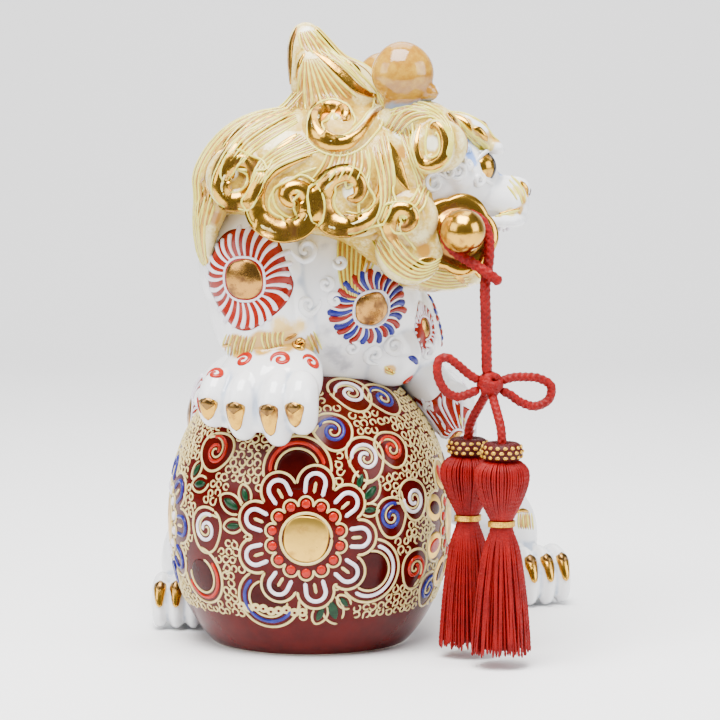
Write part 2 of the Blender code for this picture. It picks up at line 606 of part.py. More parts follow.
class Ornament:
    """The cord, knot, bows and tassels that hang from the right knob."""

    def __init__(self) -> None:
        seat = bar_ends()[0]
        self.hinge = seat + KNOB_AXIS * loop_height()
        self.across = Vector((-KNOB_AXIS.y, KNOB_AXIS.x, 0.0)).normalized()
        self.up = KNOB_AXIS.cross(self.across).normalized()
        if self.up.z < 0:
            self.up = -self.up
        self.drop_top = self.in_loop(8.2, -20.8, 0.0)
        drop = Vector((0.9 * MM, 0.2 * MM, -DROP_LENGTH))
        self.drop_end = self.drop_top + drop
        self.knot = self.drop_end - Vector((-1.2 * MM, 0.0, KNOT_RADIUS + SEAT - 0.15 * MM))

    def in_loop(self, across: float, up: float, lift: float) -> Vector:
        """Point in the plane of the loop round the knob's neck, in millimetres."""
        return self.hinge + (self.across * across + self.up * up + KNOB_AXIS * lift) * MM

    def build_noose(self) -> bpy.types.Object:
        """One cord: its end lies over the drop, then it loops round the neck and hangs to the knot."""
        loop = [(13.2, -20.0, 4.9), (8.2, -16.2, 4.9), (3.0, -11.8, 2.0), (-1.8, -8.2, 0.1),
                (-5.4, -4.2, 0.0), (-6.4, 0.2, 0.0), (-4.6, 4.4, 0.0), (-0.4, 6.5, 0.0),
                (4.6, 6.2, 0.0), (8.6, 3.2, 0.0),
                (10.4, -2.2, 0.0), (10.3, -8.8, 0.0), (9.3, -15.2, 0.0)]
        route = [self.in_loop(*point) for point in loop]
        route += [self.drop_top.lerp(self.drop_end, share) for share in (0.0, 0.33, 0.67, 1.0)]
        return finish(tube("noose_cord", route, CORD_DIAMETER, 1.5 * CORD_DIAMETER), RED_SILK)

    def build_knot(self) -> bpy.types.Object:
        """The round knot that gathers the cords."""
        reach = Vector((0, 0, KNOT_RADIUS))
        radius = KNOT_RADIUS / MM
        knot = limb("knot", [self.knot - reach, self.knot + reach], [radius] * 2, [radius] * 2, FORWARD,
                    2.0, 0.0, 16, 10)
        return finish(knot, RED_SILK)

    def build_bow(self, name: str, outline: list) -> bpy.types.Object:
        """A bow loop of thin cord, whose ends meet the knot."""
        route = []
        for across, up in outline:
            offset = self.across * across + Vector((0, 0, up)) - KNOB_AXIS * (0.03 * abs(across))
            route.append(self.knot + offset * MM)
        return finish(tube(name, route, THIN_CORD_DIAMETER, 1.6 * THIN_CORD_DIAMETER), RED_SILK)

    def tassel_axis(self, offset: Vector) -> Vector:
        """Top of a tassel's bead, straight above the tassel."""
        return self.knot + offset - Vector((0, 0, LEG_DROP))

    def build_leg(self, name: str, offset: Vector) -> bpy.types.Object:
        """The cord from the knot down through the bead into the tassel's head."""
        bead_top = self.tassel_axis(offset)
        lean = (offset * 0.5 - Vector((0, 0, 9.5 * MM))).normalized()
        start = self.knot + lean * (KNOT_RADIUS + SEAT)
        inside = bead_top - Vector((0, 0, BEAD_HEIGHT + 2 * SEAT))
        end = inside - Vector((0, 0, CORD_SOCKET_DEPTH - SEAT))
        bend = self.knot + offset * 0.86 - Vector((0, 0, 0.70 * LEG_DROP))
        route = [start, start + lean * (0.9 * THIN_CORD_DIAMETER), bend,
                 bead_top + Vector((0, 0, 0.3 * MM)), inside.lerp(bead_top, 0.5), inside, end]
        return finish(tube(name, route, THIN_CORD_DIAMETER, 1.5 * THIN_CORD_DIAMETER), RED_SILK)

    def build_bead(self, name: str, offset: Vector) -> bpy.types.Object:
        """A ring-shaped bead on the leg cord."""
        bore = 0.5 * THIN_CORD_DIAMETER + 2 * CLEARANCE
        middle = 0.5 * (BEAD_RADIUS + bore)
        half = 0.5 * (BEAD_RADIUS - bore)
        steps = 8
        bm = bmesh.new()
        verts = []
        for index in range(steps):
            angle = math.tau * index / steps
            verts.append(bm.verts.new((middle + half * math.cos(angle), 0.0,
                                       0.5 * BEAD_HEIGHT * math.sin(angle))))
        edges = [bm.edges.new((verts[index - 1], verts[index])) for index in range(steps)]
        bmesh.ops.spin(bm, geom=verts + edges, cent=(0, 0, 0), axis=(0, 0, 1), angle=math.tau, steps=16,
                       use_merge=True)
        bmesh.ops.remove_doubles(bm, verts=bm.verts, dist=0.00001)
        bmesh.ops.recalc_face_normals(bm, faces=bm.faces)
        centre = self.tassel_axis(offset) - Vector((0, 0, 0.5 * BEAD_HEIGHT))
        return finish(add_object(name, bm, centre), GOLD_THREAD)

    def tassel_profile(self) -> list:
        """Half section of a tassel from its socket over the head to the hem, with heights from its top."""
        socket = 0.5 * THIN_CORD_DIAMETER + CLEARANCE
        head, waist, hem = TASSEL_HEAD_RADIUS, TASSEL_WAIST_RADIUS, TASSEL_HEM_RADIUS
        tie_top, length = TASSEL_HEAD_LENGTH, TASSEL_LENGTH
        skirt = length - tie_top - TIE_HEIGHT
        return [(0.0, -CORD_SOCKET_DEPTH), (socket, -CORD_SOCKET_DEPTH), (socket, 0.0),
                (0.70 * head, -0.2 * MM), (0.92 * head, -0.08 * tie_top),
                (head, -0.20 * tie_top), (0.94 * head, -0.42 * tie_top),
                (0.74 * head, -0.70 * tie_top), (waist + 1.0 * MM, -tie_top + 0.8 * MM), (waist, -tie_top),
                (waist, -tie_top - TIE_HEIGHT), (waist + 1.4 * MM, -tie_top - TIE_HEIGHT - 1.5 * MM),
                (0.70 * hem, -length + 0.75 * skirt), (0.86 * hem, -length + 0.4 * skirt), (hem, -length),
                (0.0, -length)]

    def turn_toward_pair(self, obj: bpy.types.Object) -> None:
        """Turn a flattened piece so that its narrow side faces the other tassel."""
        apart = FRONT_TASSEL_OFFSET - REAR_TASSEL_OFFSET
        obj.rotation_euler.z = math.atan2(apart.y, apart.x) - 0.5 * math.pi

    def build_tassel(self, name: str, offset: Vector) -> bpy.types.Object:
        """A tassel of twisted strands folded over its head."""
        tassel = turned(name, self.tassel_profile(), 24, 0, 0.0, TASSEL_FLATTENING)
        tassel.location = self.tassel_axis(offset) - Vector((0, 0, BEAD_HEIGHT + SEAT))
        self.turn_toward_pair(tassel)
        return finish(tassel, RED_SILK)

    def build_tie(self, name: str, offset: Vector) -> bpy.types.Object:
        """The gold thread wound round a tassel's waist."""
        inner = TASSEL_WAIST_RADIUS + CLEARANCE
        outer = inner + TIE_THICKNESS
        half = 0.5 * TIE_HEIGHT - SEAT
        section = [(inner, half), (outer - 0.3 * MM, half), (outer, half - 0.3 * MM),
                   (outer, 0.3 * MM - half), (outer - 0.3 * MM, -half), (inner, -half)]
        bm = bmesh.new()
        verts = [bm.verts.new((radius, 0.0, height)) for radius, height in section]
        edges = [bm.edges.new((verts[index - 1], verts[index])) for index in range(len(verts))]
        bmesh.ops.spin(bm, geom=verts + edges, cent=(0, 0, 0), axis=(0, 0, 1), angle=math.tau, steps=16,
                       use_merge=True)
        bmesh.ops.remove_doubles(bm, verts=bm.verts, dist=0.00001)
        for vert in bm.verts:
            vert.co.y *= TASSEL_FLATTENING
        bmesh.ops.recalc_face_normals(bm, faces=bm.faces)
        drop = BEAD_HEIGHT + SEAT + TASSEL_HEAD_LENGTH + 0.5 * TIE_HEIGHT
        tie = add_object(name, bm, self.tassel_axis(offset) - Vector((0, 0, drop)))
        self.turn_toward_pair(tie)
        return finish(tie, GOLD_THREAD)

    def hang(self, name: str, pivot: Vector, pieces: list) -> None:
        """Parent pieces to an empty on the axis that they swing about."""
        empty = bpy.data.objects.new(name, None)
        empty.location = pivot
        empty.empty_display_size = 5 * MM
        bpy.context.collection.objects.link(empty)
        for piece in pieces:
            piece.parent = empty
            piece.matrix_parent_inverse = Matrix.Translation(pivot).inverted()

    def build(self) -> None:
        """Make every piece of the ornament."""
        pieces = [self.build_noose(), self.build_knot()]
        right = [(5.3, 1.4), (8.8, 2.3), (13.5, 2.4), (19.0, 1.8), (23.8, -1.2), (23.0, -6.4), (17.6, -8.8),
                 (11.6, -6.9), (8.2, -4.4), (5.0, -2.9)]
        left = [(-5.2, 1.8), (-8.2, 4.0), (-12.4, 7.6), (-16.4, 10.4), (-19.8, 9.2), (-20.0, 3.6),
                (-17.2, -2.0), (-12.8, -4.4), (-8.6, -3.6), (-5.2, -2.1)]
        pieces += [self.build_bow("bow_right", right), self.build_bow("bow_left", left)]
        self.hang("noose_hinge", self.hinge, pieces)
        for place, offset in (("front", FRONT_TASSEL_OFFSET), ("rear", REAR_TASSEL_OFFSET)):
            pieces = [self.build_leg("leg_cord_" + place, offset), self.build_bead("bead_" + place, offset),
                      self.build_tassel("tassel_" + place, offset), self.build_tie("tie_" + place, offset)]
            self.hang(place + "_tassel_hinge", self.knot, pieces)


def build_lion() -> None:
    """Make the ball and every casting of the lion."""
    build_ball()
    build_torso()
    build_head()
    build_lower_jaw()
    build_mane()
    build_crest()
    for name, hand in (("ear_right", 1), ("ear_left", -1)):
        build_ear(name, hand)
    build_foreleg("foreleg_right", math.radians(-118), 98.5 * MM, mm(-18, -12, 142), 21.5)
    build_foreleg("foreleg_left", math.radians(2), 93 * MM, mm(30, 3, 126), 17.5)
    build_hindleg("hindleg_right", mm(-12, 56, 88), mm(-20, 48, 66), mm(-42, 46, 26), mm(-45, 37, 11),
                  Vector((-0.15, -0.99, 0.0)).normalized(), 13.0)
    build_hindleg("hindleg_left", mm(44, 54, 84), mm(52, 48, 62), mm(90, 68, 34), mm(97, 69, 12),
                  Vector((0.20, -0.98, 0.0)).normalized(), 14.5)
    build_tail()
    build_bar()
    right, left = bar_ends()
    mirrored_axis = (KNOB_AXIS - 2.0 * KNOB_AXIS.dot(RIGHTWARD) * RIGHTWARD).normalized()
    build_knob("knob_right", right, KNOB_AXIS)
    build_knob("knob_left", left, mirrored_axis)


remove_everything()
build_lion()
Ornament().build()
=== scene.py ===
"""Looks of a porcelain guardian lion, its enamelled ball and the silk ornament on its mouth bar.

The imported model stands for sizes, places and joints. Every visible piece is modelled here as a
fine mesh in the same frame, in metres: smooth glazed castings, slip lines and enamels laid on
them as real relief, gilding, braided cords and stranded tassels.
"""

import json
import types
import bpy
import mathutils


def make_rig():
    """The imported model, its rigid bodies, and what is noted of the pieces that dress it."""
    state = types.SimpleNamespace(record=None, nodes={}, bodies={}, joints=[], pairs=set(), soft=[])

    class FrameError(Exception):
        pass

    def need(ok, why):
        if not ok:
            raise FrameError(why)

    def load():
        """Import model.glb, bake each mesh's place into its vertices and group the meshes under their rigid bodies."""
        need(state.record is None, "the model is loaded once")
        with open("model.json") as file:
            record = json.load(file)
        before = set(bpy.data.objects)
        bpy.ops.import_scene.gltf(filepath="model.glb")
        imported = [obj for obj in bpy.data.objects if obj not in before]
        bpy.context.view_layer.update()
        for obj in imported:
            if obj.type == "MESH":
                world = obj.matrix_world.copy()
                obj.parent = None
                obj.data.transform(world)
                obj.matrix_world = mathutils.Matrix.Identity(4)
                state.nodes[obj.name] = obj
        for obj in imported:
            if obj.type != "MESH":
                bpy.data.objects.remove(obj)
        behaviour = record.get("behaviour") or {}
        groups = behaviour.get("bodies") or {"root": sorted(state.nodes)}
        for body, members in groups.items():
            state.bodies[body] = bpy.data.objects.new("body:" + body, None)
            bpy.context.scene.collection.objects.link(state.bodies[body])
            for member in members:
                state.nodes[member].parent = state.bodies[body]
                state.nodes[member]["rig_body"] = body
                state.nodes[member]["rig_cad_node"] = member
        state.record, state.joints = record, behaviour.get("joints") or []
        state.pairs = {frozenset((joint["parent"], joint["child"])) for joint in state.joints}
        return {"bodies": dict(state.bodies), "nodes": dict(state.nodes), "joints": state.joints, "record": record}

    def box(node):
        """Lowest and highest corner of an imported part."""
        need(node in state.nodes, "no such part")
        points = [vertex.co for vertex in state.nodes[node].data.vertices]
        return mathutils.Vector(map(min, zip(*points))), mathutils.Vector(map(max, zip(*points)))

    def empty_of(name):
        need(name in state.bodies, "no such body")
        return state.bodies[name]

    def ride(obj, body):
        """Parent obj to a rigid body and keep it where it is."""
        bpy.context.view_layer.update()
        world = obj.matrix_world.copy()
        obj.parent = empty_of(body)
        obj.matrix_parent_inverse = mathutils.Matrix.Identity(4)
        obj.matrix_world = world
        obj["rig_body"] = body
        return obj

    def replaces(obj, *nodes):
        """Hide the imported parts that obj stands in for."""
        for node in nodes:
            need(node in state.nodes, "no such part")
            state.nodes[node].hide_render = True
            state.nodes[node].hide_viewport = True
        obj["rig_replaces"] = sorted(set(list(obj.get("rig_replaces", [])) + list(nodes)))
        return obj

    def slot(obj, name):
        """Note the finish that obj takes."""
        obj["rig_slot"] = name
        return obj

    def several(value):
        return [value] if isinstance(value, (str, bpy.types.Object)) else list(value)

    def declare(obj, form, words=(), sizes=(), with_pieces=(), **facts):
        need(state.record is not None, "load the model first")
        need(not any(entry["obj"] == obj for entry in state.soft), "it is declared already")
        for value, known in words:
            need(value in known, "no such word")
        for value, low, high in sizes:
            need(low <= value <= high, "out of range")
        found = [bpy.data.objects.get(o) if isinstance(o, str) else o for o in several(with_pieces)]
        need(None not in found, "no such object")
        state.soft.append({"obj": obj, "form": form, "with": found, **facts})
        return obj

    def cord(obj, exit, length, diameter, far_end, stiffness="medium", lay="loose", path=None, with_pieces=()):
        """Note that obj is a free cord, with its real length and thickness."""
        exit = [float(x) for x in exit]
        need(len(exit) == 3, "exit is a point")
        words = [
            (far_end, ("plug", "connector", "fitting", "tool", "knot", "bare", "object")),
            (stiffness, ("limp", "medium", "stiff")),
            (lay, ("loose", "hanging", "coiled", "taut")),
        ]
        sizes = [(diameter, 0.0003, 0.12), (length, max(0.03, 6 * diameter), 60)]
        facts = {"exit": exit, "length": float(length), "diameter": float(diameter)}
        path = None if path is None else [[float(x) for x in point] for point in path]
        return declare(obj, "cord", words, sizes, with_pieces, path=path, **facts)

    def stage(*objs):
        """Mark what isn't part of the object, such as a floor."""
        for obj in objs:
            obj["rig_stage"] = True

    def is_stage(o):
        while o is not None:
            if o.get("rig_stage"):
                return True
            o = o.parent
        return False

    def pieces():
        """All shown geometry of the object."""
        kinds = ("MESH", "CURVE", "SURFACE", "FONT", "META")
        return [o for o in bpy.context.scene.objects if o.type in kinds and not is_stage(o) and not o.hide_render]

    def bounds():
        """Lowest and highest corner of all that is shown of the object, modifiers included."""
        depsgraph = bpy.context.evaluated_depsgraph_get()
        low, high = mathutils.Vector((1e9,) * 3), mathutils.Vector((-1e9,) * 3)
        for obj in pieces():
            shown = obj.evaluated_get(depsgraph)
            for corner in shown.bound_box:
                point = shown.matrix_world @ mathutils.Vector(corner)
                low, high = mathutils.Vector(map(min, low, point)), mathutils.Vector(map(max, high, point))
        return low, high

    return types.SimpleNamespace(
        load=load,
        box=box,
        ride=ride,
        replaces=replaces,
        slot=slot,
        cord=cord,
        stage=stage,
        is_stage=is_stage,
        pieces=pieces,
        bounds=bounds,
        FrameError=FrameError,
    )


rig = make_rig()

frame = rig.load()

import json
import logging
import math
import random
from dataclasses import dataclass, field
from enum import Enum
from typing import Callable, Optional, Sequence

import bpy
import numpy as np
from mathutils import Matrix, Vector
from mathutils.bvhtree import BVHTree

CAD_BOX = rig.bounds()
LOG = logging.getLogger("guardian_lion")
MM = 0.001
UP = Vector((0.0, 0.0, 1.0))
BALL_RADIUS = 55.0  # millimetres, as are the next two
BALL_HALF_HEIGHT = 63.0
BALL_CENTRE_HEIGHT = 48.0
BALL_FULLNESS = 2.2  # power of the superellipse that is its half section
BALL_SLOPE_POWER = 1.2  # one less, for the surface's slope
PIXEL_SIZE = 0.39 * MM  # what the photograph's pixel covers at the figure
LEAP = 5 * MM  # longer steps of a traced line have jumped to another form
PRESS_START = 12 * MM  # height over a surface from which a line is pressed onto it
COAT_START = 2.2 * MM  # height over a line from which a band's points drop onto the surface
COAT_REACH = 5 * MM
COAT_SINK = 0.5 * MM  # depth of a band's underside below the surface
LINE_STEP = 0.9 * MM
FINE_STEP = 0.6 * MM
HAIR_SWELL = (0.5, 0.9, 1.0, 0.9, 0.6)
SIZE_FILE = "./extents.json"
Pixel = tuple[float, float]
Colour = tuple[float, float, float]


class Body(Enum):
    """The rigid bodies that pieces ride on."""

    LION = "lion"
    ORNAMENT = "ornament"
    FRONT = "front_tassel"
    REAR = "rear_tassel"


class Socket:
    """A shader value on which Python's operators build Math nodes."""

    def __init__(self, shader: "Shader", socket: bpy.types.NodeSocket) -> None:
        """Wrap a node's output socket."""
        self.shader = shader
        self.socket = socket

    def __add__(self, other: "Socket | float") -> "Socket":
        """Sum."""
        return self.shader.math("ADD", self, other)

    __radd__ = __add__

    def __sub__(self, other: "Socket | float") -> "Socket":
        """Difference."""
        return self.shader.math("SUBTRACT", self, other)

    def __rsub__(self, other: "Socket | float") -> "Socket":
        """Reflected difference."""
        return self.shader.math("SUBTRACT", other, self)

    def __mul__(self, other: "Socket | float") -> "Socket":
        """Product."""
        return self.shader.math("MULTIPLY", self, other)

    __rmul__ = __mul__

    def between(self, low: float, high: float) -> "Socket":
        """Smooth step from 0 at the low value to 1 at the high one."""
        settings = {"interpolation_type": "SMOOTHSTEP"}
        node = self.shader.node("ShaderNodeMapRange", settings, {0: self, 1: low, 2: high, 3: 0.0, 4: 1.0})
        return Socket(self.shader, node.outputs[0])


class Shader:
    """A material under construction, with one Principled shader."""

    def __init__(self, name: str) -> None:
        """Start an empty material.

        Args:
            name: The material's name.
        """
        self.material = bpy.data.materials.new(name)
        self.material.use_nodes = True
        self.tree = self.material.node_tree
        self.principled = self.tree.nodes["Principled BSDF"]

    def node(self, kind: str, settings: dict, values: dict) -> bpy.types.Node:
        """Add a node.

        Args:
            kind: The node's type.
            settings: Its own properties, set before its sockets.
            values: Socket name or index to a value or a Socket.

        Returns:
            The new node.
        """
        node = self.tree.nodes.new(kind)
        for key, value in settings.items():
            setattr(node, key, value)
        for key, value in values.items():
            self.feed(node.inputs[key], value)
        return node

    def feed(self, target: bpy.types.NodeSocket, value: object) -> None:
        """Link a Socket to an input, or set a plain value on it."""
        if isinstance(value, Socket):
            self.tree.links.new(value.socket, target)
        elif isinstance(value, tuple) and len(value) == 3 and target.type == "RGBA":
            target.default_value = (*value, 1.0)
        else:
            target.default_value = value

    def math(self, operation: str, *terms: "Socket | float") -> Socket:
        """Math node on one to three terms."""
        node = self.node("ShaderNodeMath", {"operation": operation}, dict(enumerate(terms)))
        return Socket(self, node.outputs[0])

    def mix(self, share: "Socket | float", low: "Socket | Colour", high: "Socket | Colour") -> Socket:
        """Colour between two colours."""
        node = self.node("ShaderNodeMix", {"data_type": "RGBA"}, {0: share, 6: low, 7: high})
        return Socket(self, node.outputs[2])

    def place(self) -> Socket:
        """Position on the object."""
        return Socket(self, self.node("ShaderNodeTexCoord", {}, {}).outputs["Object"])

    def noise(self, size: float, detail: float = 3.0, roughness: float = 0.55) -> Socket:
        """Noise whose features are about as large as the size, in metres."""
        values = {"Vector": self.place(), "Scale": 1.0 / size, "Detail": detail, "Roughness": roughness}
        return Socket(self, self.node("ShaderNodeTexNoise", {}, values).outputs["Fac"])

    def cells(self, size: float) -> Socket:
        """Distance to the nearest of points strewn about a size apart."""
        values = {"Vector": self.place(), "Scale": 1.0 / size}
        return Socket(self, self.node("ShaderNodeTexVoronoi", {}, values).outputs["Distance"])

    def attribute(self, name: str) -> Socket:
        """A number stored on the mesh's points."""
        return Socket(self, self.node("ShaderNodeAttribute", {"attribute_name": name}, {}).outputs["Fac"])

    def painted(self, colour: Socket) -> Socket:
        """The colour under what is brushed on the mesh, with a ragged edge."""
        node = self.node("ShaderNodeAttribute", {"attribute_name": PAINT}, {})
        ragged = (self.noise(2.2 * MM, 4.0) - 0.5) * 0.5
        share = (self.attribute(PAINTED) + ragged).between(0.25, 0.75)
        return self.mix(share, colour, Socket(self, node.outputs["Color"]))

    def bump(self, height: Socket, depth: float, strength: float = 1.0) -> Socket:
        """Normal from a height, whose full range is a depth in metres."""
        node = self.node("ShaderNodeBump", {}, {"Strength": strength, "Distance": depth, "Height": height})
        return Socket(self, node.outputs[0])

    def done(self, **sockets: object) -> bpy.types.Material:
        """Set the Principled shader's sockets, named with underscores, and hand over the material."""
        for name, value in sockets.items():
            self.feed(self.principled.inputs[name.replace("_", " ").title().replace("Ior", "IOR")], value)
        return self.material


HOLLOW = "hollow"  # mesh attribute: 0 on crests, 0.5 on flats, 1 in grooves
PAINT = "paint"  # mesh attribute: a brushed colour
PAINTED = "painted"  # mesh attribute: how much of the brushed colour there is


@dataclass(frozen=True)
class Glaze:
    """Clear glaze over white porcelain, which pools bluish in hollows."""

    name: str = "white_glaze"
    crest: Colour = (0.80, 0.805, 0.815)
    pool: Colour = (0.44, 0.50, 0.60)
    roughness: float = 0.07

    def material(self) -> bpy.types.Material:
        """Build the material."""
        s = Shader(self.name)
        cloud = s.noise(14 * MM, 3.0)
        pooled = (s.attribute(HOLLOW) + (cloud - 0.5) * 0.12).between(0.54, 0.86)
        colour = s.mix(pooled, self.crest, self.pool)
        speck = s.noise(1.1 * MM, 1.0).between(0.80, 0.84)
        colour = s.painted(s.mix(speck * 0.25, colour, (0.42, 0.36, 0.30)))
        skin = s.bump(s.noise(5 * MM, 2.0), 0.10 * MM, 0.6)
        return s.done(base_color=colour, roughness=self.roughness, coat_weight=0.35, coat_roughness=0.03,
                      subsurface_weight=0.06, subsurface_radius=(0.004, 0.004, 0.005), subsurface_scale=0.5,
                      normal=skin)


@dataclass(frozen=True)
class Wash:
    """Translucent enamel wash over white glaze: thin on crests, and deep and warm in grooves."""

    name: str
    thin: Colour
    body: Colour
    deep: Colour
    roughness: float = 0.10
    streak: float = 1.4 * MM

    def material(self) -> bpy.types.Material:
        """Build the material."""
        s = Shader(self.name)
        hollow = s.attribute(HOLLOW)
        patches = s.noise(16 * MM, 3.0)
        streaks = s.noise(self.streak, 4.0, 0.65)
        depth = hollow + (patches - 0.5) * 0.75 + (streaks - 0.5) * 0.60
        colour = s.mix(depth.between(0.28, 0.56), self.thin, self.body)
        colour = s.painted(s.mix(depth.between(0.56, 0.90), colour, self.deep))
        skin = s.bump(s.noise(3 * MM, 3.0), 0.12 * MM, 0.7)
        return s.done(base_color=colour, roughness=self.roughness + 0.10 * patches, coat_weight=0.3,
                      coat_roughness=0.04, normal=skin)


@dataclass(frozen=True)
class Enamel:
    """Opaque glossy overglaze enamel in one hue, mottled where it fired unevenly."""

    name: str
    hue: Colour
    shade: Colour
    roughness: float = 0.14
    mottle: float = 2.5 * MM
    coat: float = 0.3
    gloss: float = 0.5

    def material(self) -> bpy.types.Material:
        """Build the material."""
        s = Shader(self.name)
        spread = s.noise(self.mottle, 4.0, 0.6)
        colour = s.mix(spread.between(0.36, 0.72), self.hue, self.shade)
        skin = s.bump(s.noise(0.9 * MM, 2.0), 0.05 * MM, 0.7)
        return s.done(base_color=colour, roughness=self.roughness + 0.10 * spread, coat_weight=self.coat,
                      coat_roughness=0.05, specular_ior_level=self.gloss, normal=skin)


@dataclass(frozen=True)
class Lustre:
    """Fired gold: bright where thick, brown and dull where thin or rubbed, with pinholes."""

    name: str
    bright: Colour = (0.64, 0.35, 0.045)
    thin: Colour = (0.26, 0.115, 0.03)
    roughness: float = 0.17
    patch: float = 7 * MM

    def material(self) -> bpy.types.Material:
        """Build the material."""
        s = Shader(self.name)
        patches = s.noise(self.patch, 4.0, 0.6)
        worn = (patches + (s.attribute(HOLLOW) - 0.5) * 0.5).between(0.46, 0.70)
        colour = s.mix(worn, self.bright, self.thin)
        pinhole = 1.0 - s.cells(3.1 * MM).between(0.05, 0.09)
        colour = s.mix(pinhole * 0.8, colour, (0.12, 0.06, 0.03))
        brushed = s.noise(0.7 * MM, 3.0)
        skin = s.bump(s.noise(1.6 * MM, 3.0) + 0.3 * brushed, 0.09 * MM, 0.7)
        return s.done(base_color=colour, metallic=1.0, roughness=self.roughness + 0.16 * worn + 0.05 * brushed,
                      normal=skin)


@dataclass(frozen=True)
class Silk:
    """Silk yarn with a painted sheen: lit and shaded tones laid by a fibre and fold pattern, and painted shade in the
    gaps between strands.
    """

    name: str
    lit: Colour
    shade: Colour
    # painted shade: the dark colour laid in the gaps between strands
    gap_shade: Colour = (0.030, 0.0001, 0.0001)
    roughness: float = 0.5

    def material(self) -> bpy.types.Material:
        """Build the material."""
        s = Shader(self.name)
        fibres = s.noise(0.35 * MM, 3.0, 0.7)
        folds = s.noise(5 * MM, 2.0)
        # Painted shade: where the mesh lies hollow between strands, the dark gap colour is laid.
        deep = s.attribute(HOLLOW).between(0.50, 0.80)
        # Painted sheen: lit and shaded tones laid by the fibre and fold noise.
        colour = s.mix((fibres * 0.6 + folds * 0.4).between(0.35, 0.65), self.shade, self.lit)
        colour = s.mix(deep * 0.9, colour, self.gap_shade)
        skin = s.bump(fibres, 0.05 * MM, 0.6)
        return s.done(base_color=colour, roughness=self.roughness, specular_ior_level=0.2, normal=skin)


@dataclass(frozen=True)
class Thread:
    """Metallic thread wound of flat gilt foil."""

    name: str = "gold_thread"
    bright: Colour = (0.86, 0.54, 0.05)
    dull: Colour = (0.48, 0.22, 0.02)

    def material(self) -> bpy.types.Material:
        """Build the material."""
        s = Shader(self.name)
        twist = s.noise(0.5 * MM, 3.0)
        colour = s.mix(twist.between(0.35, 0.65), self.dull, self.bright)
        return s.done(base_color=colour, metallic=0.75, roughness=0.28 + 0.2 * twist,
                      normal=s.bump(twist, 0.08 * MM, 0.8))


class Palette:
    """Every finish of the figurine, built once."""

    def __init__(self) -> None:
        """Build the materials."""
        self.white = Glaze().material()
        self.mane = Wash("yellow_wash", (0.78, 0.68, 0.31), (0.54, 0.35, 0.045), (0.27, 0.12, 0.010)).material()
        self.lemon = Enamel("lemon_slip", (0.66, 0.58, 0.07), (0.72, 0.65, 0.14), 0.12, 3 * MM).material()
        self.ochre = Enamel("ochre_wash", (0.36, 0.155, 0.014), (0.52, 0.29, 0.05), 0.14, 3 * MM).material()
        self.ear = Wash("orange_wash", (0.50, 0.28, 0.025), (0.34, 0.15, 0.008), (0.22, 0.07, 0.004), 0.09,
                        3 * MM).material()
        self.gold = Lustre("gold_lustre").material()
        self.thin_gold = Lustre("thin_gold", (0.44, 0.22, 0.05), (0.15, 0.07, 0.03), 0.20, 5 * MM).material()
        self.burnt_gold = Lustre("burnt_gold", (0.22, 0.12, 0.035), (0.08, 0.04, 0.02), 0.24, 4 * MM).material()
        self.matte_gold = Lustre("matte_gold", (0.74, 0.45, 0.075), (0.48, 0.26, 0.045), 0.28, 6 * MM).material()
        self.iron = Enamel("iron_red", (0.072, 0.0017, 0.0009), (0.048, 0.0010, 0.0006), 0.10, 9 * MM, 0.0,
                           0.15).material()
        self.wine = Enamel("dark_red", (0.042, 0.0008, 0.0006), (0.026, 0.0006, 0.0005), 0.12, 8 * MM, 0.0,
                           0.12).material()
        self.cream = Enamel("cream_slip", (0.60, 0.46, 0.15), (0.68, 0.56, 0.24), 0.18, 2 * MM).material()
        self.orange = Enamel("orange_enamel", (0.40, 0.008, 0.0005), (0.30, 0.008, 0.0008), 0.10, 3 * MM, 0.0,
                             0.3).material()
        self.blue = Enamel("blue_enamel", (0.010, 0.010, 0.15), (0.02, 0.024, 0.24), 0.10, 3 * MM, 0.0,
                           0.3).material()
        self.green = Enamel("green_enamel", (0.002, 0.022, 0.007), (0.004, 0.042, 0.013), 0.10, 2 * MM, 0.0,
                            0.22).material()
        self.chalk = Enamel("white_enamel", (0.66, 0.62, 0.70), (0.76, 0.72, 0.78), 0.12, 3 * MM).material()
        self.rust = Enamel("rust_red", (0.27, 0.012, 0.004), (0.20, 0.008, 0.003), 0.14, 2 * MM, 0.0, 0.3).material()
        self.pale_blue = Enamel("pale_blue", (0.34, 0.47, 0.74), (0.52, 0.63, 0.82), 0.10, 5 * MM).material()
        self.black = Enamel("black_enamel", (0.008, 0.006, 0.006), (0.02, 0.012, 0.012), 0.08, 2 * MM).material()
        self.biscuit = Enamel("bare_biscuit", (0.70, 0.64, 0.56), (0.60, 0.53, 0.45), 0.7, 3 * MM).material()
        self.silk = Silk("red_silk", (0.25, 0.0002, 0.0004), (0.13, 0.0001, 0.0002)).material()
        self.thread = Thread().material()


def smooth_value(values: Sequence, share: float) -> object:
    """Value at a share of a smooth curve through the values, which are numbers or vectors."""
    spans = len(values) - 1
    first = min(int(share * spans), spans - 1)
    t = share * spans - first
    b, c = values[first], values[first + 1]
    a = values[first - 1] if first else b * 2.0 - c
    d = values[first + 2] if first + 2 <= spans else c * 2.0 - b
    rise = (c - a) * t
    bend = (a * 2.0 - b * 5.0 + c * 4.0 - d) * (t * t)
    twist = (b * 3.0 - a - c * 3.0 + d) * (t**3)
    return (b * 2.0 + rise + bend + twist) * 0.5


def heading(points: Sequence[Vector], index: int) -> Vector:
    """Direction of a line of points at one of them, from its neighbours."""
    return (points[min(index + 1, len(points) - 1)] - points[max(index - 1, 0)]).normalized()


def length_of(points: Sequence[Vector]) -> float:
    """Length of the line through points."""
    return sum((b - a).length for a, b in zip(points, points[1:]))


def turns(count: int) -> list[float]:
    """Even angles round a circle."""
    return [math.tau * index / count for index in range(count)]


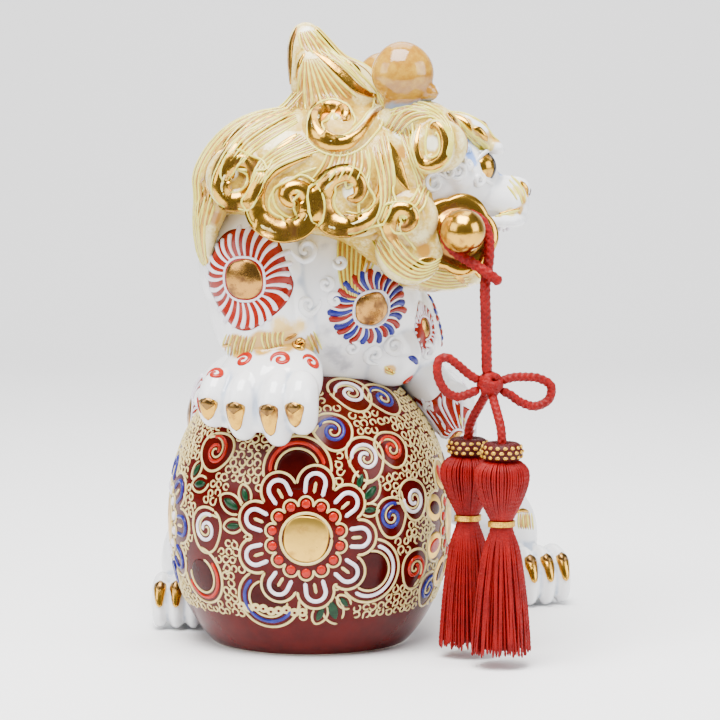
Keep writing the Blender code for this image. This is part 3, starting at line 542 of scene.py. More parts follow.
def along(points: Sequence[Vector], step: float) -> list[Vector]:
    """Points a step apart on a smooth curve through the given ones."""
    fine = [smooth_value(points, index / (24 * len(points))) for index in range(24 * len(points) + 1)]
    length = length_of(fine)
    count = max(2, round(length / step))
    walked, found, target = 0.0, [fine[0].copy()], length / count
    for a, b in zip(fine, fine[1:]):
        span = (b - a).length
        while span > 0 and walked + span >= target * len(found) and len(found) < count:
            found.append(a.lerp(b, (target * len(found) - walked) / span))
        walked += span
    return [*found, fine[-1].copy()]


class Clay:
    """Points and faces that grow into one mesh."""

    def __init__(self) -> None:
        """Start empty."""
        self.points: list[Vector] = []
        self.faces: list[tuple[int, ...]] = []

    def rings(self, rings: Sequence[Sequence[Vector]], closed: bool = False) -> "Clay":
        """Skin over rings of equal count, with flat ends unless the rings close on themselves.

        Args:
            rings: Rings in order, each a closed loop of points.
            closed: Whether the last ring meets the first.

        Returns:
            The clay itself.
        """
        base, count = len(self.points), len(rings[0])
        for ring in rings:
            self.points.extend(ring)
        last = len(rings) if closed else len(rings) - 1
        for row in range(last):
            here = base + row * count
            there = base + (row + 1) % len(rings) * count
            for index in range(count):
                after = (index + 1) % count
                self.faces.append((here + index, here + after, there + after, there + index))
        if not closed:
            self.faces.append(tuple(base + index for index in reversed(range(count))))
            self.faces.append(tuple(base + (len(rings) - 1) * count + index for index in range(count)))
        return self

    def mesh(self, name: str) -> bpy.types.Mesh:
        """Turn the clay into a mesh."""
        mesh = bpy.data.meshes.new(name)
        mesh.from_pydata(self.points, [], self.faces)
        mesh.update()
        return mesh

    def piece(self, name: str, material: bpy.types.Material, flip: bool = False) -> bpy.types.Object:
        """Turn the clay into a smooth-shaded object.

        Args:
            name: The object's name.
            material: Its finish.
            flip: Whether the rings ran so that faces point inward.

        Returns:
            The new object.
        """
        mesh = self.mesh(name)
        if flip:
            mesh.flip_normals()
        return add_piece(name, mesh, material)


def add_piece(name: str, mesh: bpy.types.Mesh, material: Optional[bpy.types.Material]) -> bpy.types.Object:
    """Link a mesh into the scene as a smooth-shaded object."""
    mesh.shade_smooth()
    if material:
        mesh.materials.clear()
        mesh.materials.append(material)
    obj = bpy.data.objects.new(name, mesh)
    bpy.context.scene.collection.objects.link(obj)
    return obj


def loft(clay: Clay, spine: Sequence[Vector], widths: Sequence[float], depths: Sequence[float], side: Vector,
         fullness: float = 2.4, sides: int = 40, rings: int = 36) -> None:
    """Add a closed form that swells and tapers along a spine.

    Args:
        clay: What it is added to.
        spine: Points whose ends are the form's tips.
        widths: Half sizes along the side direction at the spine's points, in millimetres.
        depths: Half sizes across it.
        side: Direction of the widths.
        fullness: 2 rounds the ends as on an ellipsoid, and more makes them blunter.
        sides: Points round the form.
        rings: Rings along it.
    """
    rows = []
    for row in range(rings + 1):
        pole = math.pi * (0.02 + 0.96 * row / rings)
        level = -math.cos(pole)
        share = 0.5 + 0.5 * level
        ahead = smooth_value(spine, min(share + 0.01, 1.0))
        behind = smooth_value(spine, max(share - 0.01, 0.0))
        tangent = (ahead - behind).normalized()
        across = (side - tangent * side.dot(tangent)).normalized()
        outward = tangent.cross(across)
        round_off = max(0.0, 1.0 - abs(level) ** fullness) ** (1.0 / fullness)
        width = smooth_value(widths, share) * MM * round_off
        depth = smooth_value(depths, share) * MM * round_off
        centre = smooth_value(spine, share)
        rows.append([centre + across * (width * math.cos(a)) + outward * (depth * math.sin(a)) for a in turns(sides)])
    clay.rings(rows)


def applied(obj: bpy.types.Object) -> bpy.types.Object:
    """Replace the object's mesh with what its modifiers make of it."""
    graph = bpy.context.evaluated_depsgraph_get()
    mesh = bpy.data.meshes.new_from_object(obj.evaluated_get(graph))
    old = obj.data
    obj.modifiers.clear()
    obj.data = mesh
    bpy.data.meshes.remove(old)
    return obj


def cast(name: str, clay: Clay, voxel: float, smoothing: int, finish: Optional[bpy.types.Material] = None,
         reach: float = 0.0) -> bpy.types.Object:
    """Fuse overlapping closed forms into one smooth casting.

    Args:
        name: The casting's name.
        clay: The forms.
        voxel: Width of the grid that they are fused on.
        smoothing: Rounds of smoothing of the seams.
        finish: Its finish, or None if it is worked on further.
        reach: Depth at which a point of a finished casting counts as fully hollow.

    Returns:
        The casting.
    """
    obj = add_piece(name, clay.mesh(name), None)
    remesh = obj.modifiers.new("Fuse", "REMESH")
    remesh.mode = "VOXEL"
    remesh.voxel_size = voxel
    smooth = obj.modifiers.new("Smooth", "SMOOTH")
    smooth.iterations = smoothing
    smooth.factor = 0.5
    applied(obj)
    obj.data.shade_smooth()
    if finish:
        obj.data.materials.append(finish)
        store_hollows(obj, reach)
    return obj


def coordinates(mesh: bpy.types.Mesh, kind: str = "vertices") -> np.ndarray:
    """The mesh's points, or their normals, as rows of three."""
    source = mesh.vertices if kind == "vertices" else mesh.vertex_normals
    values = np.empty(len(mesh.vertices) * 3)
    source.foreach_get("co" if kind == "vertices" else "vector", values)
    return values.reshape(-1, 3)


def store_hollows(obj: bpy.types.Object, reach: float = 1.0 * MM, rounds: int = 3) -> None:
    """Store how hollow each point of a mesh lies, from 0 on crests to 1 in grooves.

    Args:
        obj: The object whose mesh is measured.
        reach: Depth below its neighbours' mean at which a point counts as fully hollow.
        rounds: Rounds of averaging, which widen the neighbourhood.
    """
    mesh = obj.data
    points, normals = coordinates(mesh), coordinates(mesh, "normals")
    edges = np.empty(len(mesh.edges) * 2, dtype=int)
    mesh.edges.foreach_get("vertices", edges)
    a, b = edges.reshape(-1, 2).T
    degree = np.bincount(np.concatenate([a, b]), minlength=len(points)).astype(float)
    degree[degree == 0] = 1.0

    def averaged(values: np.ndarray) -> np.ndarray:
        """Mean over each point's neighbours."""
        total = np.zeros_like(values)
        for axis in range(values.shape[1]):
            total[:, axis] = np.bincount(a, values[b, axis],
                                         len(points)) + np.bincount(b, values[a, axis], len(points))
        return total / degree[:, None]

    mean = points
    for _ in range(2 * rounds):
        mean = averaged(mean)
    depth = np.einsum("ij,ij->i", mean - points, normals)[:, None]
    for _ in range(rounds):
        depth = 0.5 * depth + 0.5 * averaged(depth)
    values = np.clip(0.5 + 0.5 * depth[:, 0] / reach, 0.0, 1.0)
    layer = mesh.attributes.new(HOLLOW, "FLOAT", "POINT")
    layer.data.foreach_set("value", values.astype(np.float32))


@dataclass(frozen=True)
class Brushing:
    """Colour brushed over a round patch of a casting."""

    place: Vector
    radius: float  # millimetres
    colour: Colour
    strength: float = 1.0


def brush(obj: bpy.types.Object, brushings: Sequence[Brushing]) -> None:
    """Store brushed colour on a mesh's points, each patch fading to its rim.

    Args:
        obj: The object.
        brushings: The patches, in the order in which they are laid.
    """
    points = coordinates(obj.data)
    paint = np.zeros((len(points), 4), dtype=np.float32)
    for patch in brushings:
        share = np.linalg.norm(points - np.array(patch.place), axis=1) / (patch.radius * MM)
        cover = np.clip(patch.strength * 1.6 * (1.0 - share), 0.0, 1.0)[:, None]
        known = paint[:, 3:4]
        blend = np.where(known + cover > 0, cover / np.maximum(known * (1 - cover) + cover, 1e-6), 0.0)
        paint[:, :3] = paint[:, :3] * (1 - blend) + np.array(patch.colour) * blend
        paint[:, 3:4] = known + cover * (1 - known)
    obj.data.attributes.new(PAINT, "FLOAT_COLOR", "POINT").data.foreach_set("color", paint.ravel())
    obj.data.attributes.new(PAINTED, "FLOAT", "POINT").data.foreach_set("value", paint[:, 3].copy())


@dataclass
class PhotoView:
    """The photograph's camera, which also says what a pixel of its frame looks at."""

    azimuth: float = math.radians(-8.0)
    elevation: float = math.radians(6.5)
    distance: float = 1.300
    focal: float = 3333.0  # pixels
    frame_size: float = 720.0
    ball_column: float = 309.5  # pixel column of the ball's axis
    aim_height: float = 109.5 * MM
    sensor: float = 36.0

    def __post_init__(self) -> None:
        """Work out the view's axes."""
        self.right = Vector((math.cos(self.azimuth), math.sin(self.azimuth), 0.0))
        level = Vector((math.sin(self.azimuth), -math.cos(self.azimuth), 0.0))
        self.back = level * math.cos(self.elevation) + UP * math.sin(self.elevation)
        self.up = self.back.cross(self.right)
        offset = (0.5 * self.frame_size - self.ball_column) / self.focal * self.distance
        self.aim = BALL_AXIS + self.right * offset + UP * self.aim_height
        self.eye = self.aim + self.back * self.distance

    def ray(self, pixel: Pixel) -> Vector:
        """Direction from the eye through a pixel."""
        half = 0.5 * self.frame_size
        return (self.right * ((pixel[0] - half) / self.focal) + self.up * ((half - pixel[1]) / self.focal)
                - self.back).normalized()

    def make(self) -> bpy.types.Object:
        """Put the camera in the scene."""
        data = bpy.data.cameras.new("photo_camera")
        data.sensor_width = self.sensor
        data.lens = self.sensor * self.focal / self.frame_size
        data.clip_start = 0.05
        camera = bpy.data.objects.new("photo_camera", data)
        turn = Matrix((self.right, self.up, self.back)).transposed().to_4x4()
        camera.matrix_world = Matrix.Translation(self.eye) @ turn
        bpy.context.scene.collection.objects.link(camera)
        bpy.context.scene.camera = camera
        return camera


BALL_LOW, BALL_HIGH = (Vector(corner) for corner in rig.box("ball"))
BALL_AXIS = Vector((0.5 * (BALL_LOW.x + BALL_HIGH.x), 0.5 * (BALL_LOW.y + BALL_HIGH.y), 0.0))
HEAD_CENTRE = BALL_AXIS + Vector((14.0, -19.0, 180.0)) * MM
HEAD_ROLL = math.radians(6.0)
FORWARD = Vector((1.0, 0.0, 0.0))
RIGHTWARD = Vector((0.0, -math.cos(HEAD_ROLL), math.sin(HEAD_ROLL)))
UPWARD = Vector((0.0, math.sin(HEAD_ROLL), math.cos(HEAD_ROLL)))
VIEW = PhotoView()


def mm(x: float, y: float, z: float) -> Vector:
    """Point from millimetres off the ball's axis on the floor."""
    return BALL_AXIS + Vector((x, y, z)) * MM


def in_head(forward: float, right: float, up: float) -> Vector:
    """Point from millimetres along the head's own axes."""
    return HEAD_CENTRE + (FORWARD * forward + RIGHTWARD * right + UPWARD * up) * MM


def heads(*marks: tuple[float, float, float]) -> list[Vector]:
    """Points from millimetres along the head's own axes."""
    return [in_head(*mark) for mark in marks]


def mirrored(point: Vector) -> Vector:
    """The point's mirror image across the head's middle plane."""
    return point - 2.0 * (point - HEAD_CENTRE).dot(RIGHTWARD) * RIGHTWARD


# Outline across a bead of slip, as shares of half its width and of its height
BEAD = ((-1.0, -0.45), (-0.84, 0.42), (-0.36, 0.94), (0.36, 0.94), (0.84, 0.42), (1.0, -0.45))


@dataclass
class Stroke:
    """A line that lies on a surface: its points and the surface's normals there."""

    points: list[Vector]
    normals: list[Vector]

    @classmethod
    def of(cls, found: Sequence[tuple[Vector, Vector]]) -> "Stroke":
        """The line through points that come with their normals."""
        return cls([point for point, _ in found], [normal for _, normal in found])

    def smoothed(self, rounds: int = 2) -> "Stroke":
        """Even out the small steps of a faceted surface, with the ends kept."""
        points, normals = self.points, self.normals
        for _ in range(rounds):
            points = [points[0], *[(a + b * 2.0 + c) / 4.0 for a, b, c in zip(points, points[1:], points[2:])],
                      points[-1]]
            normals = [normals[0], *[(a + b + c).normalized() for a, b, c in zip(normals, normals[1:], normals[2:])],
                       normals[-1]]
        return Stroke(points, normals)

    def raised(self, height: float) -> "Stroke":
        """The same line, held off the surface."""
        return Stroke([p + n * height for p, n in zip(self.points, self.normals)], self.normals)

    def lay(self, clay: Clay, width: float, height: float, swell: Optional[Sequence[float]] = None,
            tip: float = 0.5) -> None:
        """Add the line as a bead of slip or enamel.

        Args:
            clay: What it is added to.
            width: Its width.
            height: How far it stands proud.
            swell: Shares of the width at even steps along it, or None for an even line.
            tip: Length of its round ends, in widths.
        """
        if len(self.points) < 3:
            return
        walked = [0.0]
        for a, b in zip(self.points, self.points[1:]):
            walked.append(walked[-1] + (b - a).length)
        if walked[-1] <= 0.0:
            return
        rows = []
        for index, (point, normal) in enumerate(zip(self.points, self.normals)):
            side = heading(self.points, index).cross(normal).normalized()
            from_end = min(walked[index], walked[-1] - walked[index]) / (tip * width)
            scale = math.sqrt(max(0.04, 1.0 - (1.0 - from_end) ** 2)) if from_end < 1.0 else 1.0
            if swell:
                scale *= smooth_value(swell, walked[index] / walked[-1])
            half, rise = 0.5 * width * scale, height * (0.35 + 0.65 * min(1.0, scale))
            rows.append([point + side * (x * half) + normal * (y * rise) for x, y in BEAD])
        clay.rings(rows)


class Surface:
    """A finished surface that lines and plates are laid on."""

    def __init__(self, *objects: bpy.types.Object) -> None:
        """Index the objects' faces, which lie in the common frame."""
        points: list = []
        faces: list = []
        for obj in objects:
            base = len(points)
            points.extend(map(tuple, coordinates(obj.data)))
            faces.extend(tuple(base + index for index in face.vertices) for face in obj.data.polygons)
        self.tree = BVHTree.FromPolygons(points, faces)

    def seen(self, pixel: Pixel) -> Optional[tuple[Vector, Vector]]:
        """Point and normal where the photograph's pixel meets the surface, or None."""
        hit = self.tree.ray_cast(VIEW.eye, VIEW.ray(pixel))
        return (hit[0], hit[1]) if hit[0] is not None else None

    def under(self, point: Vector, direction: Vector, reach: float = 0.05) -> Optional[tuple[Vector, Vector]]:
        """Point and normal met from a point along a direction."""
        hit = self.tree.ray_cast(point, direction, reach)
        return (hit[0], hit[1]) if hit[0] is not None else None

    def nearest(self, point: Vector) -> tuple[Vector, Vector]:
        """Nearest point of the surface, with its normal."""
        hit = self.tree.find_nearest(point)
        return hit[0], hit[1]

    def traced(self, pixels: Sequence[Pixel], step: float = LINE_STEP) -> Optional[Stroke]:
        """The line on the surface that the photograph shows along a smooth curve through pixels."""
        marks = [Vector((x, y, 0.0)) for x, y in pixels]
        runs: list = [[]]
        for mark in along(marks, step / PIXEL_SIZE):
            hit = self.seen((mark.x, mark.y))
            if hit and runs[-1] and (hit[0] - runs[-1][-1][0]).length > LEAP:
                runs.append([])
            if hit:
                runs[-1].append(hit)
        found = max(runs, key=len)
        if len(found) < 3:
            return None
        return Stroke.of(found).smoothed()

    def lines(self, pixels: Sequence[Pixel], twin: bool, step: float = LINE_STEP) -> list[Stroke]:
        """The traced line, with its mirror image where it has a twin, or nothing."""
        line = self.traced(pixels, step)
        if line is None:
            return []
        return [line, self.mirrored(line)] if twin else [line]

    def drawn(self, points: Sequence[Vector], step: float = LINE_STEP) -> Stroke:
        """The line on the surface nearest to a smooth curve through points."""
        found = [self.nearest(point) for point in along(points, step)]
        return Stroke.of(found).smoothed()

    def pressed(self, points: Sequence[Vector], direction: Vector, step: float = LINE_STEP) -> Stroke:
        """The line that a smooth curve makes when it is pressed onto the surface along a direction."""
        away = direction * PRESS_START
        found = [hit for point in along(points, step) if (hit := self.under(point - away, direction, 0.03))]
        return Stroke.of(found).smoothed(1 if found else 0)

    def coat(self, clay: Clay, stroke: Stroke, width: float, height: float, swell: Optional[Sequence[float]] = None,
             tip: float = 0.8) -> None:
        """Add a broad band along a line, which bends over the surface.

        Args:
            clay: What it is added to.
            stroke: The band's middle line.
            width: Its width.
            height: How far it stands proud.
            swell: Shares of the width at even steps along it.
            tip: Length of its round ends, in widths.
        """
        count = len(stroke.points)
        if count < 3:
            return
        spread = (-1.0, -0.86, -0.5, 0.0, 0.5, 0.86, 1.0)
        lifts = (-0.3, 0.75, 1.0, 1.0, 1.0, 0.75, -0.3)
        length = length_of(stroke.points)
        rows = []
        for index, (point, normal) in enumerate(zip(stroke.points, stroke.normals)):
            side = heading(stroke.points, index).cross(normal).normalized()
            from_end = min(index, count - 1 - index) / (count - 1) * length / (tip * width)
            scale = math.sqrt(max(0.05, 1.0 - (1.0 - from_end) ** 2)) if from_end < 1.0 else 1.0
            if swell:
                scale *= smooth_value(swell, index / (count - 1))
            top, bottom = [], []
            for share, lift in zip(spread, lifts):
                start = point + side * (0.5 * width * scale * share)
                hit = self.under(start + normal * COAT_START, -normal, COAT_REACH)
                seat, out = hit or (start, normal)
                top.append(seat + out * (height * lift))
                if abs(share) < 0.9:
                    bottom.append(seat - out * COAT_SINK)
            rows.append(top + bottom[::-1])
        clay.rings(rows)

    def brushings(self, marks: Sequence[tuple], twin: bool = False) -> list[Brushing]:
        """Patches of colour where pixels meet the surface, and on its other side where it has a twin.

        Args:
            marks: Pixel, radius in millimetres, colour and strength of each.
            twin: Whether each is laid on the head's other side too.
        """
        found = []
        for pixel, radius, colour, strength in marks:
            hit = self.seen(pixel)
            if hit:
                for place in ([hit[0], mirrored(hit[0])] if twin else [hit[0]]):
                    found.append(Brushing(place, radius, colour, strength))
        return found

    def mirrored(self, stroke: Stroke) -> Stroke:
        """The line's mirror image across the head's middle plane, laid on the surface again."""
        found = [self.nearest(mirrored(point)) for point in stroke.points]
        return Stroke.of(found).smoothed(1)


class Patch:
    """Flat coordinates about a point of a surface, in metres: right, up and off the surface."""

    def __init__(self, surface: Surface, point: Vector, normal: Vector, up: Vector) -> None:
        """Set the axes.

        Args:
            surface: What the patch lies on.
            point: Its middle.
            normal: The surface's normal there.
            up: Direction that its second axis follows as closely as it can.
        """
        self.surface = surface
        self.point = point
        self.normal = normal.normalized()
        self.right = up.cross(self.normal).normalized()
        self.up = self.normal.cross(self.right)

    def foot(self, x: float, y: float) -> tuple[Vector, Vector]:
        """Point of the surface and its normal at flat coordinates."""
        flat = self.point + self.right * x + self.up * y
        hit = self.surface.under(flat + self.normal * (8 * MM), -self.normal, 30 * MM)
        return hit or self.surface.nearest(flat)

    def at(self, x: float, y: float, lift: float = 0.0) -> Vector:
        """Point of the surface at flat coordinates, lifted off it."""
        point, normal = self.foot(x, y)
        return point + (normal if lift > 0 else self.normal) * lift

    def line(self, marks: Sequence[tuple[float, float]], step: float = FINE_STEP) -> Stroke:
        """The line through flat coordinates, laid on the surface."""
        flat = along([Vector((x, y, 0.0)) for x, y in marks], step)
        return Stroke.of([self.foot(mark.x, mark.y) for mark in flat]).smoothed(1)


def plate(clay: Clay, at: Callable[[float, float, float], Vector], outline: Sequence[tuple[float, float]],
          height: float, crown: float = 0.35, rows: int = 3) -> None:
    """Add a raised plate with a rounded rim.

    Args:
        clay: What it is added to.
        at: Turns flat coordinates and a lift into a point.
        outline: The rim, counter-clockwise.
        height: How far the plate stands proud at its rim.
        crown: How much higher its middle is, as a share of the height.
        rows: Rings between rim and middle.
    """
    count = len(outline)
    middle = (sum(x for x, _ in outline) / count, sum(y for _, y in outline) / count)

    def ring(share: float, lift: float) -> list[Vector]:
        """The outline drawn in toward its middle."""
        return [at(middle[0] + (x - middle[0]) * share, middle[1] + (y - middle[1]) * share, lift) for x,
                y in outline]

    rings = [ring(0.96, -0.5 * height), ring(1.0, 0.35 * height), ring(0.94, 0.85 * height)]
    for row in range(rows):
        share = 0.86 * (1.0 - row / rows) + 0.03
        rings.append(ring(share, height * (1.0 + crown * (1.0 - share**2))))
    clay.rings(rings)


def oval(width: float, height: float, count: int = 20, squareness: float = 2.0, wobble: float = 0.0,
         seed: int = 0) -> list[tuple[float, float]]:
    """Outline of a rounded shape about the origin."""
    chance = random.Random(seed)
    waves = [(chance.uniform(0, math.tau), chance.uniform(-wobble, wobble)) for _ in range(4)]
    marks = []
    for angle in turns(count):
        c, s = math.cos(angle), math.sin(angle)
        reach = (abs(c) ** squareness + abs(s) ** squareness) ** (-1.0 / squareness)
        reach *= 1.0 + sum(size * math.cos((k + 2) * angle + phase) for k, (phase, size) in enumerate(waves))
        marks.append((0.5 * width * reach * c, 0.5 * height * reach * s))
    return marks


def leaf(length: float, width: float, count: int = 18) -> list[tuple[float, float]]:
    """Outline of a leaf about the origin, pointed at both ends, along the first axis."""
    marks = []
    for angle in turns(count):
        marks.append((0.5 * length * math.cos(angle), 0.5 * width * math.sin(angle) * abs(math.sin(angle)) ** 0.35))
    return marks


def turned_marks(marks: Sequence[tuple[float, float]], angle: float, x: float = 0.0, y: float = 0.0) -> list:
    """Flat marks turned about the origin and moved."""
    c, s = math.cos(angle), math.sin(angle)
    return [(x + c * a - s * b, y + s * a + c * b) for a, b in marks]


def arc(radius: float, start: float, end: float, count: int = 16, x: float = 0.0, y: float = 0.0) -> list:
    """Flat marks along an arc, with angles in degrees."""
    angles = [math.radians(start + (end - start) * index / count) for index in range(count + 1)]
    return [(x + radius * math.cos(a), y + radius * math.sin(a)) for a in angles]


def spiral(outer: float, inner: float, start: float, winds: float, count: int = 30) -> list:
    """Flat marks along a spiral that winds inward, with the start in degrees and its winds signed by hand."""
    marks = []
    for index in range(count + 1):
        share = index / count
        angle = math.radians(start) + math.tau * winds * share
        radius = outer + (inner - outer) * share
        marks.append((radius * math.cos(angle), radius * math.sin(angle)))
    return marks


class Relief:
    """Enamels and slips laid on a surface, gathered by finish into one piece each."""

    def __init__(self, prefix: str, cad_slot: str) -> None:
        """Start with nothing laid.

        Args:
            prefix: Start of the pieces' names.
            cad_slot: Material slot whose finish they belong to.
        """
        self.prefix = prefix
        self.cad_slot = cad_slot
        self.clays: dict[str, Clay] = {}
        self.finishes: dict[str, bpy.types.Material] = {}

    def clay(self, finish: bpy.types.Material) -> Clay:
        """The clay of a finish."""
        self.finishes[finish.name] = finish
        return self.clays.setdefault(finish.name, Clay())

    def pieces(self) -> list[bpy.types.Object]:
        """Turn each finish's clay into a piece that rides on the lion."""
        made = []
        for name, clay in self.clays.items():
            if clay.faces:
                made.append(report(clay.piece(f"{self.prefix}_{name}", self.finishes[name]), Body.LION,
                                   self.cad_slot))
        return made


def report(piece: bpy.types.Object, body: Body, slot: str, *replaced: str) -> bpy.types.Object:
    """Attach a finished piece to its body and log it.

    Args:
        piece: The piece, in place.
        body: What it rides on.
        slot: The record's material slot.
        replaced: CAD nodes that it stands for.

    Returns:
        The piece.
    """
    if isinstance(piece.data, bpy.types.Mesh) and HOLLOW not in piece.data.attributes:
        layer = piece.data.attributes.new(HOLLOW, "FLOAT", "POINT")
        layer.data.foreach_set("value", np.full(len(piece.data.vertices), 0.5, dtype=np.float32))
    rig.ride(piece, body.value)
    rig.slot(piece, slot)
    if replaced:
        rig.replaces(piece, *replaced)
    LOG.info("%s rides on %s: %d faces", piece.name, body.value, len(getattr(piece.data, "polygons", ())))
    return piece


class Motif(Enum):
    """Kinds of motif on the ball."""

    SPIRAL = "spiral"
    CRESCENT = "crescent"
    LEAF = "leaf"


@dataclass(frozen=True)
class BallMotif:
    """One motif of the ball, placed by the pixel of its middle."""

    kind: Motif
    pixel: Pixel
    size: float  # millimetres: its radius, or a leaf's length
    finish: str
    angle: float  # degrees
    hand: int = 1


@dataclass
class Ball:
    """The enamelled ball: a turned hollow casting with medallions on an iron-red ground."""

    palette: Palette
    radius: float = BALL_RADIUS * MM
    half_height: float = BALL_HALF_HEIGHT * MM
    centre_height: float = BALL_CENTRE_HEIGHT * MM
    fullness: float = BALL_FULLNESS
    foot_ring: float = 4.2 * MM
    foot_rise: float = 1.6 * MM
    base_thickness: float = 5.0 * MM
    wall: float = 5.0 * MM
    vent: float = 12.0 * MM
    medallion_pixel: Pixel = (306.0, 539.0)
    side_turn: float = 84.0  # degrees from the front medallion to its neighbours
    loop_spacing: float = 3.45 * MM
    pattern_floor: float = 17.5 * MM
    pattern_roof: float = 104.0 * MM
    petals: int = 9
    petal_ring: float = 20.9  # millimetres from a medallion's middle to its petals
    dot_ring: float = 13.1  # millimetres from its middle to its dots
    rim_ring: float = 20.6  # millimetres from its middle to the middles of its rim's scallops
    scallop: float = 6.9  # a scallop's radius, millimetres
    widest: float = 0.62  # radians: no medallion reaches further from its middle
    medallions: list[Vector] = field(default_factory=list)

    def __post_init__(self) -> None:
        """Set the middle and the list of motifs."""
        self.centre = BALL_AXIS + UP * self.centre_height
        self.relief = Relief("ball", "ball")
        self.taken: list[tuple[Vector, float]] = []
        crescents = (((297, 470), 13.0, "orange", 90), ((371, 571), 12.4, "chalk", -25),
                     ((268, 599), 12.0, "blue", -130), ((202, 575), 11.0, "orange", -60))
        spirals = (((333, 431), 7.6, "blue", 160, -1), ((366, 458), 8.0, "chalk", 180, -1),
                   ((392, 449), 7.2, "orange", 150, -1), ((414, 499), 7.6, "chalk", 170, 1),
                   ((392, 517), 7.2, "blue", 60, 1), ((415, 568), 7.4, "orange", -60, 1),
                   ((428, 588), 7.0, "blue", 40, 1), ((351, 393), 8.6, "chalk", 170, -1),
                   ((383, 398), 8.0, "blue", 150, -1), ((216, 451), 8.0, "orange", 120, -1),
                   ((206, 529), 8.2, "chalk", 60, 1))
        leaves = (((231, 504), 7.4, -28), ((245, 495), 5.4, -70), ((200, 484), 6.6, 10), ((197, 470), 5.4, 60),
                  ((233, 526), 5.6, 8), ((360, 481), 5.8, 66), ((370, 493), 7.2, 40), ((370, 510), 5.2, 0),
                  ((320, 614), 6.0, 70), ((333, 610), 8.4, -72), ((344, 602), 4.8, -50))
        self.motifs = [BallMotif(Motif.CRESCENT, *row) for row in crescents]
        self.motifs += [BallMotif(Motif.SPIRAL, *row) for row in spirals]
        self.motifs += [BallMotif(Motif.LEAF, pixel, size, "green", tilt) for pixel, size, tilt in leaves]

    def out(self, direction: Vector) -> tuple[Vector, Vector]:
        """Point and normal of the ball's surface in a direction from its middle."""
        level = math.hypot(direction.x, direction.y)
        n = self.fullness
        across, upward = level / self.radius, abs(direction.z) / self.half_height
        reach = (across**n + upward**n) ** (-1.0 / n)
        point = self.centre + direction * reach
        slope = (reach * across) ** (n - 1) / self.radius
        rise = math.copysign((reach * upward) ** (n - 1) / self.half_height, direction.z)
        flat = Vector((direction.x, direction.y, 0.0)) / max(level, 1e-9)
        return point, (flat * slope + UP * rise).normalized()

    def direction(self, pixel: Pixel) -> Vector:
        """Direction from the ball's middle to what a pixel shows of it."""
        ray = VIEW.ray(pixel)
        low, high = 0.0, (self.centre - VIEW.eye).dot(ray)
        for _ in range(40):
            middle = 0.5 * (low + high)
            offset = VIEW.eye + ray * middle - self.centre
            shell = (math.hypot(offset.x, offset.y) / self.radius) ** self.fullness
            shell += (abs(offset.z) / self.half_height) ** self.fullness
            low, high = (middle, high) if shell > 1.0 else (low, middle)
        return (VIEW.eye + ray * high - self.centre).normalized()

    def chart(self, direction: Vector) -> Callable[[float, float, float], Vector]:
        """Flat coordinates about a direction: right, up and lift give a point."""
        def at(x: float, y: float, lift: float = 0.0) -> Vector:
            """Point at flat coordinates."""
            point, normal = self.out(self.bent(direction, x, y))
            return point + normal * lift
        return at

    def bent(self, direction: Vector, x: float, y: float) -> Vector:
        """The direction moved across the surface by flat distances to the right and up."""
        east = UP.cross(direction).normalized()
        north = direction.cross(east)
        way = east * x + north * y
        distance = way.length
        if distance < 1e-9:
            return direction
        reach = (self.out(direction)[0] - self.centre).length
        turn = distance / reach
        return direction * math.cos(turn) + way / distance * math.sin(turn)

    def stroke(self, direction: Vector, marks: Sequence[tuple[float, float]], step: float = 0.7 * MM) -> Stroke:
        """A line on the ball through flat marks in millimetres about a direction."""
        flat = along([Vector((x * MM, y * MM, 0.0)) for x, y in marks], step)
        found = [self.out(self.bent(direction, mark.x, mark.y)) for mark in flat]
        return Stroke.of(found)

    def line(self, finish: bpy.types.Material, direction: Vector, marks: Sequence, width: float, height: float,
             clipped: bool = False) -> None:
        """Lay a line of slip or enamel, with sizes in millimetres.

        Args:
            finish: What it is of.
            direction: Middle of the marks.
            marks: Flat marks of its middle line.
            width: Its width.
            height: How far it stands proud.
            clipped: Whether it stops at the medallions.
        """
        stroke = self.stroke(direction, marks)
        run = Stroke([], [])
        for point, normal in zip(stroke.points, stroke.normals):
            if clipped and self.in_medallion((point - self.centre).normalized()):
                run.lay(self.relief.clay(finish), width * MM, height * MM)
                run = Stroke([], [])
            else:
                run.points.append(point)
                run.normals.append(normal)
        run.lay(self.relief.clay(finish), width * MM, height * MM)

    def in_medallion(self, direction: Vector) -> bool:
        """Whether a direction lies inside a medallion's scalloped rim."""
        for middle in self.medallions:
            if direction.angle(middle) > self.widest:
                continue
            east = UP.cross(middle).normalized()
            north = middle.cross(east)
            flat = direction - middle * direction.dot(middle)
            reach = (self.out(middle)[0] - self.centre).length / MM * direction.angle(middle)
            turn = math.atan2(flat.dot(north), flat.dot(east)) / math.tau * self.petals
            off = abs(turn - round(turn)) / self.petals * math.tau
            depth = self.scallop**2 - (self.rim_ring * math.sin(off)) ** 2
            rim = self.rim_ring * math.cos(off) + math.sqrt(max(0.0, depth))
            if reach < rim + 0.4:
                return True
        return False

    def spot(self, finish: bpy.types.Material, direction: Vector, outline: Sequence, height: float,
             crown: float = 0.5) -> None:
        """Lay a plate whose outline is in millimetres."""
        at = self.chart(direction)
        plate(self.relief.clay(finish), lambda x, y, lift: at(x * MM, y * MM, lift), outline, height * MM, crown)

    def body(self) -> bpy.types.Object:
        """The turned casting with its wall, base, vent and foot ring."""
        def half_section(inset: float, low: float, steps: int) -> list[tuple[float, float]]:
            """Radii and heights from the top down to a height, drawn in by the inset."""
            tall = self.half_height - inset
            end = math.acos((low - self.centre_height) / tall)
            shares = [math.cos(end * max(index, 0.3) / steps) for index in range(steps + 1)]
            widths = [(1.0 - abs(share) ** self.fullness) ** (1.0 / self.fullness) for share in shares]
            return [((self.radius - inset) * w, self.centre_height + tall * s) for w, s in zip(widths, shares)]

